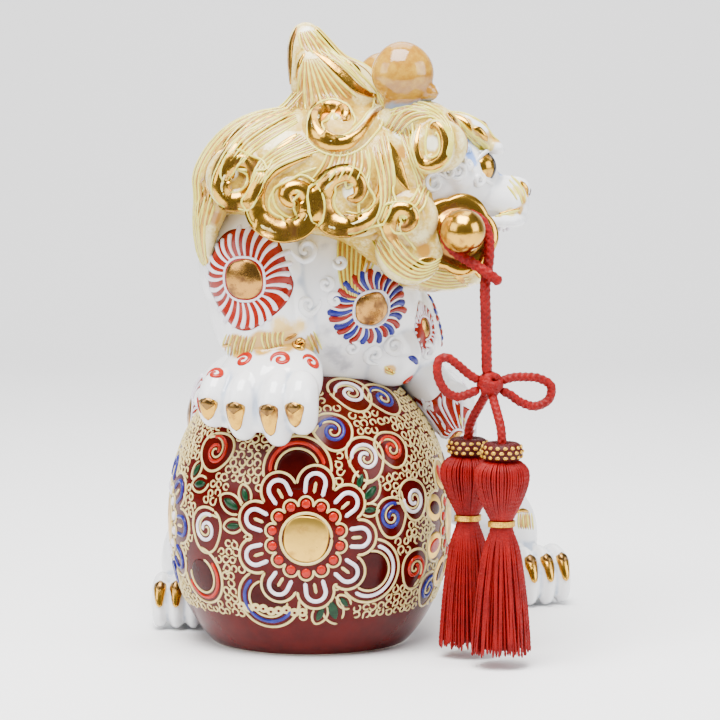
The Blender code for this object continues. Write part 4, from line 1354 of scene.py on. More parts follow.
        outer = half_section(0.0, 0.6 * MM, 90)
        rim = outer[-1][0]
        inner = half_section(self.wall, self.foot_rise + self.base_thickness, 30)
        base = [(rim - 0.7 * MM, 0.0), (rim - self.foot_ring + 0.6 * MM, 0.0), (rim - self.foot_ring, 0.5 * MM),
                (rim - self.foot_ring - self.foot_rise, self.foot_rise), (self.vent + 0.5 * MM, self.foot_rise),
                (self.vent, self.foot_rise + 0.6 * MM), (self.vent, self.foot_rise + self.base_thickness - 0.6 * MM),
                (self.vent + 0.6 * MM, self.foot_rise + self.base_thickness)]
        profile = outer + base + inner[::-1]
        clay = Clay()
        clay.rings([[BALL_AXIS + Vector((r * math.cos(a), r * math.sin(a), z)) for a in turns(180)] for r,
                    z in profile])
        ball = clay.piece("ball_body", self.palette.iron, flip=True)
        ball.data.materials.append(self.palette.biscuit)
        for face in ball.data.polygons:
            face.material_index = int(face.center.z < 0.55 * MM)
        return report(ball, Body.LION, "ball", "ball")

    def crescent(self, direction: Vector, motif: BallMotif) -> None:
        """A dark disc with an arc of enamel round one side."""
        r, tilt, p = motif.size, motif.angle, self.palette
        self.spot(p.wine, direction, oval(1.16 * r, 1.16 * r, 28), 0.12, 0.2)
        self.line(getattr(p, motif.finish), direction, arc(0.80 * r, tilt - 100, tilt + 100), 1.6, 0.6, True)
        self.line(p.cream, direction, arc(0.63 * r, tilt - 130, tilt + 130), 1.0, 0.45, True)
        self.line(p.cream, direction, arc(r, tilt - 150, tilt + 150, 24), 1.15, 0.5, True)

    def curl(self, direction: Vector, motif: BallMotif) -> None:
        """A spiral of enamel inside a rounded outline that curls in on itself."""
        r, start, hand, p = motif.size, motif.angle, motif.hand, self.palette
        blob = []
        for index in range(31):
            angle = math.radians(start) + math.tau * index / 30
            reach = r * (1.0 + 0.07 * math.cos(2 * angle + 0.05 * start) + 0.05 * math.sin(3 * angle))
            blob.append((reach * math.cos(angle), reach * math.sin(angle)))
        self.line(p.cream, direction, blob, 1.1, 0.48, True)
        self.line(getattr(p, motif.finish), direction, spiral(0.74 * r, 0.17 * r, start, hand * 1.4), 1.5, 0.65, True)
        inner = []
        for index in range(25):
            share = index / 24
            angle = math.radians(start - hand * 22) + math.tau * hand * 1.25 * share
            radius = r * (0.52 - 0.46 * share + 0.46 * math.exp(-9.0 * share))
            inner.append((radius * math.cos(angle), radius * math.sin(angle)))
        self.line(p.cream, direction, inner, 0.9, 0.42, True)

    def leaf(self, direction: Vector, motif: BallMotif) -> None:
        """A green leaf with a cream outline."""
        length, tilt = motif.size, math.radians(motif.angle)
        marks = turned_marks(leaf(length, 0.44 * length), tilt)
        self.spot(getattr(self.palette, motif.finish), direction, marks, 0.5, 0.6)
        rim = turned_marks(leaf(1.55 * length, 0.95 * length), tilt)
        self.line(self.palette.cream, direction, [*rim[2:], rim[0]], 1.0, 0.45, True)

    def medallion(self, direction: Vector, petal: bpy.types.Material, dot: bpy.types.Material, gilded: bool) -> None:
        """A flower: gilt disc, ring of dots in scallops and nine arched petals.

        Args:
            direction: Of its middle.
            petal: Enamel of the arches.
            dot: Enamel of the dots.
            gilded: Whether the petals have gilt frames with dark windows instead of arches.
        """
        p = self.palette
        self.spot(p.matte_gold, direction, oval(17.4, 17.6, 40, 2.3, 0.02, 5), 0.40, 0.5)
        self.line(p.cream, direction, arc(9.7, 0, 360, 40), 1.25, 0.55)
        dots = 14
        for index in range(dots):
            angle = math.tau * (index + 0.5) / dots
            x, y = self.dot_ring * math.cos(angle), self.dot_ring * math.sin(angle)
            self.spot(dot, direction, [(x + a, y + b) for a, b in oval(3.5, 3.5, 12)], 0.5, 0.9)
            turn = math.degrees(angle)
            self.line(p.cream, direction, arc(2.75, turn - 112, turn + 112, 10, x, y), 1.0, 0.48)
        for index in range(self.petals):
            angle = math.tau * index / self.petals
            turn = math.degrees(angle)
            x, y = self.petal_ring * math.cos(angle), self.petal_ring * math.sin(angle)
            if gilded:
                rim = turned_marks(oval(12.5, 10.5, 22), angle, 1.05 * x, 1.05 * y)
                self.spot(p.matte_gold, direction, rim, 0.30, 0.1)
                window = turned_marks(oval(8.2, 5.6, 18), angle, 1.05 * x, 1.05 * y)
                self.spot(p.orange if index % 2 else p.wine, direction, window, 0.52, 0.2)
            else:
                legs_in, legs_out = turned_marks([(-4.4, 3.3)], angle, x,
                                                 y), turned_marks([(-4.4, -3.3)], angle, x, y)
                bow = arc(3.7, turn + 100, turn - 100, 12, x, y)
                self.line(petal, direction, [*legs_in, *bow, *legs_out], 1.75, 0.7)
                self.line(p.cream, direction, turned_marks([(-3.6, 0.0), (-1.6, 0.0), (0.6, 0.0)], angle, x, y),
                          1.35, 0.45)
            self.line(p.cream, direction, arc(self.scallop, turn - 98, turn + 98, 14, 0.985 * x, 0.985 * y), 1.15,
                      0.5)

    def base_cloud(self, direction: Vector) -> None:
        """The scalloped cream bank with small holes below the front medallion."""
        for index in range(9):
            x = -25.5 + 3.0 * index
            sink = -28.4 - 0.6 * math.sin(1.9 * index)
            self.spot(self.palette.cream, direction, [(x + a, sink + b) for a, b in oval(3.9, 3.6, 12)], 0.30, 0.2)
            self.spot(self.palette.iron, direction, [(x + a, sink + b) for a, b in oval(1.3, 1.1, 8)], 0.50, 0.1)

    def loops(self, covered: Surface) -> None:
        """Strew small open loops of slip over the ground that the motifs leave.

        Args:
            covered: The castings that lie on the ball, whose neighbourhood stays bare.
        """
        chance = random.Random(11)
        clay = self.relief.clay(self.palette.cream)
        height = self.pattern_floor
        row = 0
        while height < self.pattern_roof:
            share = (height - self.centre_height) / self.half_height
            ring = self.radius * (1.0 - abs(share) ** self.fullness) ** (1.0 / self.fullness)
            count = max(3, int(math.tau * ring / self.loop_spacing))
            for index in range(count):
                azimuth = math.tau * (index + 0.5 * (row % 2) + chance.uniform(-0.16, 0.16)) / count
                level = height + chance.uniform(-0.35, 0.35) * MM
                offset = Vector((ring * math.cos(azimuth), ring * math.sin(azimuth), level - self.centre_height))
                self.loop(clay, offset.normalized(), chance, covered)
            slope = math.hypot(1.0, (self.radius / self.half_height) * abs(share) ** BALL_SLOPE_POWER)
            height += 0.90 * self.loop_spacing / slope
            row += 1

    def loop(self, clay: Clay, direction: Vector, chance: random.Random, covered: Surface) -> None:
        """Lay one small loop, unless a motif or a casting is in its place."""
        turn, radius = chance.uniform(0, 360), chance.uniform(1.15, 1.42)
        open_by = chance.uniform(20, 70)
        point, _ = self.out(direction)
        for taken, reach in self.taken:
            if direction.angle(taken) * (point - self.centre).length < reach + 1.5 * MM:
                return
        if self.in_medallion(direction):
            return
        near, _ = covered.nearest(point)
        if (near - point).length < 1.2 * MM:
            return
        marks = arc(radius, turn, turn + 360 - open_by, 9)
        tail = math.radians(turn + 360 - open_by + 35)
        if chance.random() < 0.5:
            marks.append(((radius + 0.9) * math.cos(tail), (radius + 0.9) * math.sin(tail)))
        self.stroke(direction, marks, 0.62 * MM).lay(clay, 0.78 * MM, 0.40 * MM)

    def build(self, covered: Surface) -> None:
        """Make the casting and lay its enamels."""
        self.body()
        p = self.palette
        front = self.direction(self.medallion_pixel)
        spin = [Matrix.Rotation(math.radians(turn), 3, "Z") for turn in (0.0, -self.side_turn, self.side_turn, 180.0)]
        looks = [(p.chalk, p.orange, False), (p.blue, p.chalk, False), (p.chalk, p.orange, True),
                 (p.chalk, p.orange, False)]
        for turn, (petal, dot, gilded) in zip(spin, looks):
            self.medallion(turn @ front, petal, dot, gilded)
            self.medallions.append(turn @ front)
        self.base_cloud(front)
        makers = {Motif.SPIRAL: self.curl, Motif.CRESCENT: self.crescent, Motif.LEAF: self.leaf}
        for motif in self.motifs:
            direction = self.direction(motif.pixel)
            reach = (0.72 if motif.kind is Motif.LEAF else 1.0) * motif.size * MM
            for turn in (spin[0], spin[3]):
                makers[motif.kind](turn @ direction, motif)
                self.taken.append((turn @ direction, reach))
        self.loops(covered)
        self.relief.pieces()


@dataclass
class Studio:
    """Plain pale sweep and soft lights."""

    depth: float = 0.9
    width: float = 3.2
    rise: float = 1.6
    bend: float = 0.5

    def sweep(self) -> None:
        """Floor that curves up into a backdrop behind the figure, seen from the camera."""
        level = Vector((-VIEW.back.x, -VIEW.back.y, 0.0)).normalized()
        rows = [-0.55, -0.2, 0.2, self.depth]
        profile = [(distance, 0.0) for distance in rows]
        for index in range(1, 13):
            angle = 0.5 * math.pi * index / 12
            profile.append((self.depth + self.bend * math.sin(angle), self.bend * (1.0 - math.cos(angle))))
        profile.append((self.depth + self.bend, self.rise))
        clay = Clay()
        for distance, height in profile:
            for side in (-1, 1):
                clay.points.append(level * distance + VIEW.right * (side * self.width) + UP * height)
        for row in range(len(profile) - 1):
            clay.faces.append((2 * row, 2 * row + 1, 2 * row + 3, 2 * row + 2))
        s = Shader("sweep_paper")
        tone = s.noise(0.30, 2.0)
        floor = clay.piece("sweep",
                           s.done(base_color=s.mix(tone, (0.86, 0.86, 0.865), (0.90, 0.90, 0.905)), roughness=0.85))
        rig.stage(floor)

    def light(self, name: str, place: Vector, size: float, power: float, colour: Colour = (1.0, 1.0, 1.0)) -> None:
        """Put a square soft light in the scene, turned to the figure."""
        data = bpy.data.lights.new(name, "AREA")
        data.shape = "SQUARE"
        data.size = size
        data.energy = power
        data.color = colour
        lamp = bpy.data.objects.new(name, data)
        lamp.location = place
        aim = UP * 0.12 - place
        lamp.rotation_euler = aim.to_track_quat("-Z", "Y").to_euler()
        bpy.context.scene.collection.objects.link(lamp)

    def build(self) -> None:
        """Make the sweep, the lights and the surrounding light."""
        self.sweep()
        right, toward = VIEW.right, Vector((VIEW.back.x, VIEW.back.y, 0.0)).normalized()
        self.light("top", toward * 0.42 + right * -0.10 + UP * 1.10, 0.80, 50.0, (1.0, 0.985, 0.975))
        self.light("left", right * -1.00 + toward * 0.62 + UP * 0.62, 0.75, 9.0)
        self.light("right", right * 1.05 + toward * 0.45 + UP * 0.50, 0.75, 12.0, (0.97, 0.98, 1.0))
        self.light("backdrop", toward * -0.55 + UP * 1.25, 0.9, 13.0)
        world = bpy.data.worlds.new("studio")
        world.use_nodes = True
        background = world.node_tree.nodes["Background"]
        background.inputs[0].default_value = (0.95, 0.97, 1.0, 1.0)
        background.inputs[1].default_value = 0.22
        bpy.context.scene.world = world


def on_ball(azimuth: float, height: float, lift: float) -> tuple[Vector, Vector, Vector]:
    """Point above the ball, with the outward normal and the downhill direction.

    Args:
        azimuth: Angle about the ball's axis.
        height: Above the floor, in millimetres.
        lift: Height above the ball's surface, in millimetres.
    """
    share = (height - BALL_CENTRE_HEIGHT) / BALL_HALF_HEIGHT
    radius = BALL_RADIUS * (1.0 - abs(share) ** BALL_FULLNESS) ** (1.0 / BALL_FULLNESS)
    slope = Vector(((radius / BALL_RADIUS) ** BALL_SLOPE_POWER / BALL_RADIUS,
                    share**BALL_SLOPE_POWER / BALL_HALF_HEIGHT)).normalized()
    out = Vector((math.cos(azimuth), math.sin(azimuth), 0.0))
    normal = out * slope.x + UP * slope.y
    point = BALL_AXIS + out * (radius * MM) + UP * (height * MM) + normal * (lift * MM)
    return point, normal, out * slope.y - UP * slope.x


@dataclass(frozen=True)
class Flow:
    """Combed hair between two guide lines of pixels: light lines of slip, and wash between them."""

    first: tuple[Pixel, ...]
    second: tuple[Pixel, ...]
    lines: int

    def pixels(self, share: float) -> list[Pixel]:
        """The line at a share of the way from the first guide to the second."""
        return [(a + (c - a) * share, b + (d - b) * share) for (a, b), (c, d) in zip(self.first, self.second)]

    def comb(self, surface: "Surface", relief: "Relief", palette: Palette, twin: bool, width: float = 1.15) -> None:
        """Lay the lines on a surface, and on its other side where it has a twin."""
        count = 2 * self.lines - 1
        for index in range(count):
            finish, wide, high = (palette.ochre, 1.25, 0.34) if index % 2 else (palette.lemon, 1.0, 0.6)
            for copy in surface.lines(self.pixels(index / max(1, count - 1)), twin):
                copy.lay(relief.clay(finish), width * wide * MM, high * MM, HAIR_SWELL)


def strands(surface: Surface, relief: Relief, palette: Palette, lines: Sequence[Sequence[Vector]],
            width: float = 1.2) -> None:
    """Lay lines of slip and wash in turn along smooth curves near a surface, and gold on every fifth."""
    for index, points in enumerate(lines):
        line = surface.drawn(points)
        if index % 5 == 2:
            surface.coat(relief.clay(palette.gold), line, 2.4 * width * MM, 0.32 * MM, [0.4, 0.9, 1.0, 0.9, 0.4])
        else:
            finish, high = (palette.ochre, 0.34) if index % 2 else (palette.lemon, 0.6)
            line.lay(relief.clay(finish), width * MM, high * MM, HAIR_SWELL)


@dataclass
class Toe:
    """A toe's line, kept for its claw."""

    knuckle: Vector
    tip: Vector
    front: Vector  # off its front face
    width: float  # half width, millimetres


EVEN_TOES = ((-0.75, 1.06, 0.95), (-0.25, 1.15, 0.95), (0.25, 1.15, 0.95), (0.75, 1.06, 0.95))
NEAR_TOES = ((-0.80, 0.98, 0.66), (-0.36, 1.16, 0.95), (0.27, 1.12, 0.82), (0.80, 0.98, 0.52))


def paw(clay: Clay, centre: Vector, forward: Vector, up: Vector, half_width: float, length: float, thickness: float,
        places: Sequence[tuple[float, float, float]] = EVEN_TOES) -> list[Toe]:
    """Add a palm and four fat toes that drop steeply at the front.

    Args:
        clay: What they are added to.
        centre: Middle of the palm.
        forward: Where the toes point.
        up: Off what the paw rests on.
        half_width: Of the paw, in millimetres.
        length: Of half the palm, in millimetres.
        thickness: Half thickness, in millimetres.
        places: Each toe's offset, reach and drop, as shares of width, length and thickness.

    Returns:
        The toes, from one side to the other.
    """
    side = forward.cross(up).normalized()
    reach, lift = forward * (length * MM), up * (thickness * MM)
    loft(clay, [centre - reach * 0.95, centre, centre + reach * 0.92],
         [0.80 * half_width, 0.98 * half_width, 0.95 * half_width],
         [0.80 * thickness, 0.98 * thickness, 0.90 * thickness], side, 3.2)
    loft(clay, [centre + reach * 0.70 + lift * 0.12, centre + reach * 0.88 - lift * 0.25,
                centre + reach * 0.96 - lift * 0.60],
         [0.90 * half_width, 0.90 * half_width, 0.84 * half_width],
         [0.52 * thickness, 0.52 * thickness, 0.42 * thickness], side, 3.0)
    toes = []
    width = 0.29 * half_width
    for offset, out, drop in places:
        spread = side * (offset * half_width * MM)
        root = centre + spread * 0.92 + reach * 0.05 + lift * 0.28
        knuckle = centre + spread + reach * (0.70 * out) + lift * 0.28
        tip = centre + spread * 1.03 + reach * out - lift * drop
        loft(clay, [root, knuckle, tip], [0.98 * width, 1.04 * width, 0.92 * width],
             [0.66 * thickness, 0.70 * thickness, 0.56 * thickness], side, 3.0, 24, 24)
        way = tip - knuckle
        toes.append(Toe(knuckle, tip, (up * way.dot(forward) - forward * way.dot(up)).normalized(), width))
    return toes


@dataclass
class WhiteBody:
    """Torso, forelegs and hind legs: one white glazed casting seated on the ball."""

    palette: Palette
    voxel: float = 0.95 * MM
    toes: list[Toe] = field(default_factory=list)
    curls: tuple = (
        ((306, 250), 5.0, 200, 1), ((326, 284), 2.8, 90, -1), ((307, 305), 4.5, 20, -1), ((395, 346), 3.9, 90, 1),
        ((374, 354), 4.3, 300, -1), ((335, 300), 2.6, 30, 1), ((427, 352), 3.6, 160, -1), ((340, 262), 2.6, 160, 1),
        ((431, 409), 3.0, 60, 1), ((352, 348), 3.0, 120, -1),
    )
    reds: tuple = (
        ((215, 373), 190, 3.4), ((243, 360), 170, 3.7), ((281, 359), 200, 3.9), ((312, 362), 150, 3.7),
                   ((409, 379), 20, 2.8),
        ((544, 537), 170, 4.2), ((566, 541), 150, 2.6),
    )
    tufts: tuple = (
        Flow(((338, 236), (338, 262), (342, 288), (351, 303)), ((362, 236), (360, 262), (358, 285), (355, 302)), 6),
        Flow(((368, 240), (366, 258), (361, 276)), ((378, 242), (376, 256), (370, 272)), 2),
        Flow(((227, 334), (223, 345), (222, 358)), ((256, 336), (253, 345), (251, 353)), 6),
        Flow(((262, 332), (262, 341), (265, 350)), ((284, 331), (282, 338), (283, 346)), 5),
        Flow(((307, 335), (312, 345), (316, 358)), ((313, 331), (318, 340), (322, 350)), 2),
        Flow(((519, 512), (518, 520), (519, 529)), ((531, 513), (532, 521), (533, 530)), 4),
        Flow(((459, 414), (461, 423), (465, 432)), ((463, 417), (466, 424), (468, 431)), 2),
        Flow(((384, 366), (389, 370), (396, 373)), ((386, 371), (390, 373), (394, 375)), 2),
    )

    def torso(self, clay: Clay) -> None:
        """Rump, belly, chest and neck."""
        spine = [mm(17, 96, 52), mm(17, 72, 76), mm(12, 36, 102), mm(7, 2, 126.5), mm(8, -14, 146), mm(12, -17, 172)]
        loft(clay, spine, [31, 38, 37, 39, 35, 24], [31, 37, 32, 34, 30, 22], FORWARD, 2.5, 64, 60)
        loft(clay, [mm(-16, -10, 130), mm(-21.5, -13, 150), mm(-20, -16, 178)], [23, 23, 14], [25, 28, 18], FORWARD,
             2.4)
        loft(clay, [mm(16, -8, 124), mm(29, -14, 112), mm(36, -14, 102)], [15, 14, 9], [16, 15, 9], FORWARD, 2.2)

    def foreleg(self, clay: Clay, azimuth: float, height: float, shoulder: Vector, half: float,
                places: Sequence[tuple[float, float, float]]) -> None:
        """Shoulder, leg and the paw on the ball."""
        thickness = 0.56 * half
        centre, normal, downhill = on_ball(azimuth, height, thickness * 0.85)
        wrist = centre - downhill * (0.25 * half * MM)
        top = shoulder + (shoulder - wrist).normalized() * (1.1 * half * MM)
        loft(clay, [top, shoulder, shoulder.lerp(wrist, 0.6), wrist],
             [0.9 * half, 1.12 * half, 0.98 * half, 0.80 * half],
             [0.9 * half, 1.10 * half, 0.92 * half, 0.70 * half], downhill.cross(normal), 2.4)
        self.toes += paw(clay, centre, downhill, normal, half, 0.86 * half, thickness, places)

    def hindleg(self, clay: Clay, hip: Vector, knee: Vector, ankle: Vector, foot: Vector, forward: Vector,
                half: float) -> None:
        """Haunch, shin and the foot on the floor."""
        side = forward.cross(UP)
        haunch = [hip + (hip - knee).normalized() * (24 * MM), hip, knee,
                  knee + (knee - hip).normalized() * (16 * MM)]
        loft(clay, haunch, [20, 28, 24, 12], [22, 31, 26, 14], FORWARD, 2.3)
        shin = [knee + (knee - ankle).normalized() * (10 * MM), knee.lerp(ankle, 0.4), ankle, foot]
        loft(clay, shin, [14, 15, 13, 12], [15, 16, 13, 10], side, 2.4)
        self.toes += paw(clay, foot, forward, UP, half, 1.25 * half, 0.80 * half)

    def cast(self) -> bpy.types.Object:
        """Fuse the forms into the casting, flat where it stands on the floor."""
        clay = Clay()
        self.torso(clay)
        self.foreleg(clay, math.radians(-118), 98.5, mm(-18, -12, 142), 21.5, NEAR_TOES)
        self.foreleg(clay, math.radians(2), 93.0, mm(30, 3, 126), 17.5, EVEN_TOES)
        self.hindleg(clay, mm(-12, 56, 88), mm(-20, 48, 66), mm(-42, 46, 26), mm(-45, 37, 11),
                     Vector((-0.15, -0.99, 0.0)).normalized(), 13.0)
        self.hindleg(clay, mm(44, 54, 84), mm(52, 48, 62), mm(90, 68, 34), mm(97, 69, 12),
                     Vector((0.20, -0.98, 0.0)).normalized(), 14.5)
        body = cast("white_body", clay, self.voxel, 3)
        for vertex in body.data.vertices:
            vertex.co.z = max(vertex.co.z, 0.15 * MM)
        body.data.materials.append(self.palette.white)
        store_hollows(body, 0.5 * MM)
        report(body, Body.LION, "torso", "torso", "foreleg_right", "foreleg_left", "hindleg_right", "hindleg_left")
        return body

    def claws(self, surface: Surface, relief: Relief) -> None:
        """Flat gold claws that taper down the fronts of the toes."""
        for toe in self.toes:
            points = [toe.knuckle.lerp(toe.tip, share) for share in (-0.24, 0.02, 0.27, 0.52)]
            line = surface.pressed(points, -toe.front, 0.7 * MM)
            surface.coat(relief.clay(self.palette.gold), line, 1.28 * toe.width * MM, 0.75 * MM,
                         [0.96, 1.0, 0.86, 0.66, 0.42], 0.22)
            root = Stroke(line.points[:7], line.normals[:7]).raised(0.55 * MM)
            root.lay(relief.clay(self.palette.burnt_gold), 1.0 * toe.width * MM, 0.7 * MM, [0.9, 1.0, 0.5])

    def fringed(self, surface: Surface, relief: Relief, place: Optional[tuple[Vector, Vector]],
                size: tuple[float, float],
                window: tuple[float, float], looks: Sequence[bpy.types.Material], petals: int) -> None:
        """Lay a round medallion: a gold window with a fringe of petals.

        Args:
            surface: What it lies on.
            relief: What gathers the enamels.
            place: Its middle and the surface's normal there.
            size: Half width and half height of the fringe, in millimetres.
            window: Half width and half height of the gold window, in millimetres.
            looks: Enamels of the petals, in turn; chalk petals lie on a ground of the other one.
            petals: How many there are.
        """
        if place is None:
            return
        patch = Patch(surface, place[0], place[1], UP)
        chance = random.Random(petals)

        def at(x: float, y: float, lift: float) -> Vector:
            """Point of the patch at millimetres."""
            return patch.at(x * MM, y * MM, lift)

        pale = self.palette.chalk in looks
        if pale:
            ground = oval(1.92 * size[0], 1.92 * size[1], 6 * petals, 2.2, 0.035, petals)
            plate(relief.clay(looks[0]), at, ground, 0.25 * MM, 0.3, 9)
        plate(relief.clay(self.palette.thin_gold), at, oval(2.0 * window[0], 2.0 * window[1], 30, 2.5, 0.03, 3),
              0.55 * MM, 0.8, 4)
        rim = [(x * MM, y * MM) for x, y in oval(2.0 * window[0] + 1.6, 2.0 * window[1] + 1.6, 36, 2.4)]
        patch.line([*rim, rim[0], rim[1]]).lay(relief.clay(self.palette.chalk), 1.1 * MM, 0.8 * MM)
        for index in range(petals):
            angle = math.tau * (index + chance.uniform(-0.14, 0.14)) / petals
            c, s = math.cos(angle), math.sin(angle)
            outer = chance.uniform(0.94, 1.06)
            marks = []
            for step in range(6):
                share = step / 5
                x = c * (window[0] + 1.0 + (size[0] * outer - window[0] - 1.0) * share)
                y = s * (window[1] + 1.0 + (size[1] * outer - window[1] - 1.0) * share)
                bend = 1.6 * math.sin(share * 2.6)
                marks.append(((x - s * bend) * MM, (y + c * bend) * MM))
            wide = (0.56 if pale else 0.86) * math.pi * (size[0] + size[1]) * 0.74 / petals
            look = self.palette.chalk if pale else looks[index % len(looks)]
            patch.line(marks).lay(relief.clay(look), wide * MM, 0.85 * MM, [0.5, 0.7, 0.95, 1.2, 1.3], 0.35)

    def swirl(self, surface: Surface, relief: Relief, finish: bpy.types.Material,
              place: Optional[tuple[Vector, Vector]],
              size: float, start: float, hand: int, width: float = 2.5, height: float = 1.3) -> None:
        """Lay a curl of slip about a place, with sizes in millimetres and the start in degrees."""
        if place:
            patch = Patch(surface, place[0], place[1], UP)
            marks = [(x * MM, y * MM) for x, y in spiral(size, 0.16 * size, start, hand * 1.35, 24)]
            patch.line(marks).lay(relief.clay(finish), width * MM, height * MM, [0.3, 1.0, 1.0, 0.95, 0.8])

    def far_side(self, surface: Surface, relief: Relief) -> None:
        """Carry the decoration on over the haunches, flanks and back, which the photograph doesn't show."""
        p = self.palette
        for middle, size, window, looks, petals in (
                (mm(-60, 54, 84), (14.5, 16.0), (6.0, 6.4), (p.rust, p.chalk), 24),
                (mm(100, 52, 80), (14.5, 16.0), (6.0, 6.4), (p.rust, p.chalk), 24),
                (mm(-50, 34, 118), (12.0, 11.0), (4.8, 4.6), (p.blue, p.rust), 24),
                (mm(80, 22, 132), (13.0, 12.0), (5.2, 5.0), (p.blue, p.rust), 24),
                (mm(14, 70, 150), (12.5, 12.0), (5.0, 5.0), (p.rust, p.chalk), 24)):
            self.fringed(surface, relief, surface.nearest(middle), size, window, looks, petals)
        for middle, size, start, hand in (
                (mm(-60, 36, 96), 4.0, 30, 1), (mm(-62, 70, 66), 3.8, 140, -1), (mm(-30, 20, 136), 4.4, 200, 1),
                                          (mm(-60, 48, 50), 3.0, 20, 1),
                (mm(100, 34, 92), 4.0, 300, -1), (mm(104, 72, 66), 3.8, 60, 1), (mm(70, 44, 116), 4.2, 120, 1),
                                          (mm(100, 50, 48), 3.2, 200, -1),
                (mm(0, 48, 160), 4.2, 60, 1), (mm(30, 50, 160), 4.2, 240, -1), (mm(0, 84, 130), 3.6, 0, 1),
                                          (mm(32, 86, 130), 3.6, 180, -1)):
            self.swirl(surface, relief, p.white, surface.nearest(middle), size, start, hand)

    def build(self) -> bpy.types.Object:
        """Cast the body and lay its enamels."""
        body = self.cast()
        surface = Surface(body)
        relief = Relief("body", "torso")
        p = self.palette
        # The grey patches are painted shade, laid in the creases between foreleg and torso and under the mane.
        ochre, painted_shade_grey, clear = (0.56, 0.31, 0.05), (0.42, 0.42, 0.46), (0.80, 0.56, 0.20)
        washes = [((350, 246), 6.5, ochre, 1.2), ((350, 266), 6.0, ochre, 1.2), ((351, 286), 4.6, ochre, 1.2),
                  ((366, 254), 5.0, ochre, 1.2),
                  *(((x, y), 6.5, ochre, 1.2) for x, y in ((238, 346), (262, 343), (285, 340))),
                  ((310, 345), 5.5, ochre, 1.2), ((280, 325), 6.0, clear, 0.6), ((300, 326), 5.5, clear, 0.6),
                  ((390, 370), 3.4, ochre, 1.0), ((526, 521), 4.5, ochre, 1.0), ((463, 423), 3.0, ochre, 1.0),
                  # painted shade: grey in the leg's crease and under the mane
                  ((327, 330), 7.0, painted_shade_grey, 0.4), ((333, 352), 8.0, painted_shade_grey, 0.5), ((344, 366), 7.0, painted_shade_grey, 0.5),
                  ((300, 240), 7.0, painted_shade_grey, 0.35), ((262, 234), 6.0, painted_shade_grey, 0.35), ((325, 246), 5.0, painted_shade_grey, 0.35)]
        brush(body, surface.brushings(washes))
        self.claws(surface, relief)
        self.fringed(surface, relief, surface.seen((243, 280)), (16.8, 19.2), (7.2, 7.6), (p.rust, p.chalk), 26)
        self.fringed(surface, relief, surface.seen((372, 309)), (16.8, 14.4), (6.8, 6.4), (p.blue, p.rust), 28)
        self.fringed(surface, relief, surface.seen((424, 328)), (6.8, 10.5), (2.7, 3.8), (p.rust, p.chalk), 22)
        self.fringed(surface, relief, surface.seen((456, 436)), (7.5, 11.0), (2.2, 2.8), (p.rust, p.chalk), 20)
        self.far_side(surface, relief)
        for pixel, size, start, hand in self.curls:
            self.swirl(surface, relief, p.white, surface.seen(pixel), size, start, hand)
        for pixel, start, size in self.reds:
            self.swirl(surface, relief, p.orange, surface.seen(pixel), size, start, -1, 2.1, 0.6)
        for tuft in self.tufts:
            tuft.comb(surface, relief, p, False, 1.05)
        self.swirl(surface, relief, p.gold, surface.seen((299, 343)), 2.5, 160, 1, 2.6, 1.7)
        for finish, pixels, width in ((p.gold, ((366, 240), (364, 256), (359, 280)), 2.6),
                                      (p.gold, ((285, 341), (290, 337), (297, 334)), 1.8),
                                      (p.gold, ((222, 347), (227, 345), (232, 344)), 1.6),
                                      (p.gold, ((385, 368), (390, 370), (394, 373)), 1.2),
                                      (p.blue, ((215, 344), (211, 349), (207, 355)), 1.2),
                                      (p.rust, ((198, 397), (199, 405), (201, 413)), 1.3),
                                      (p.blue, ((408, 357), (414, 359), (418, 364)), 2.6),
                                      (p.gold, ((516, 513), (522, 510), (529, 512)), 1.8)):
            for line in surface.lines(pixels, False, FINE_STEP):
                line.lay(relief.clay(finish), width * MM, 0.6 * MM, [0.5, 1.0, 1.0, 0.6])
        relief.pieces()
        return body


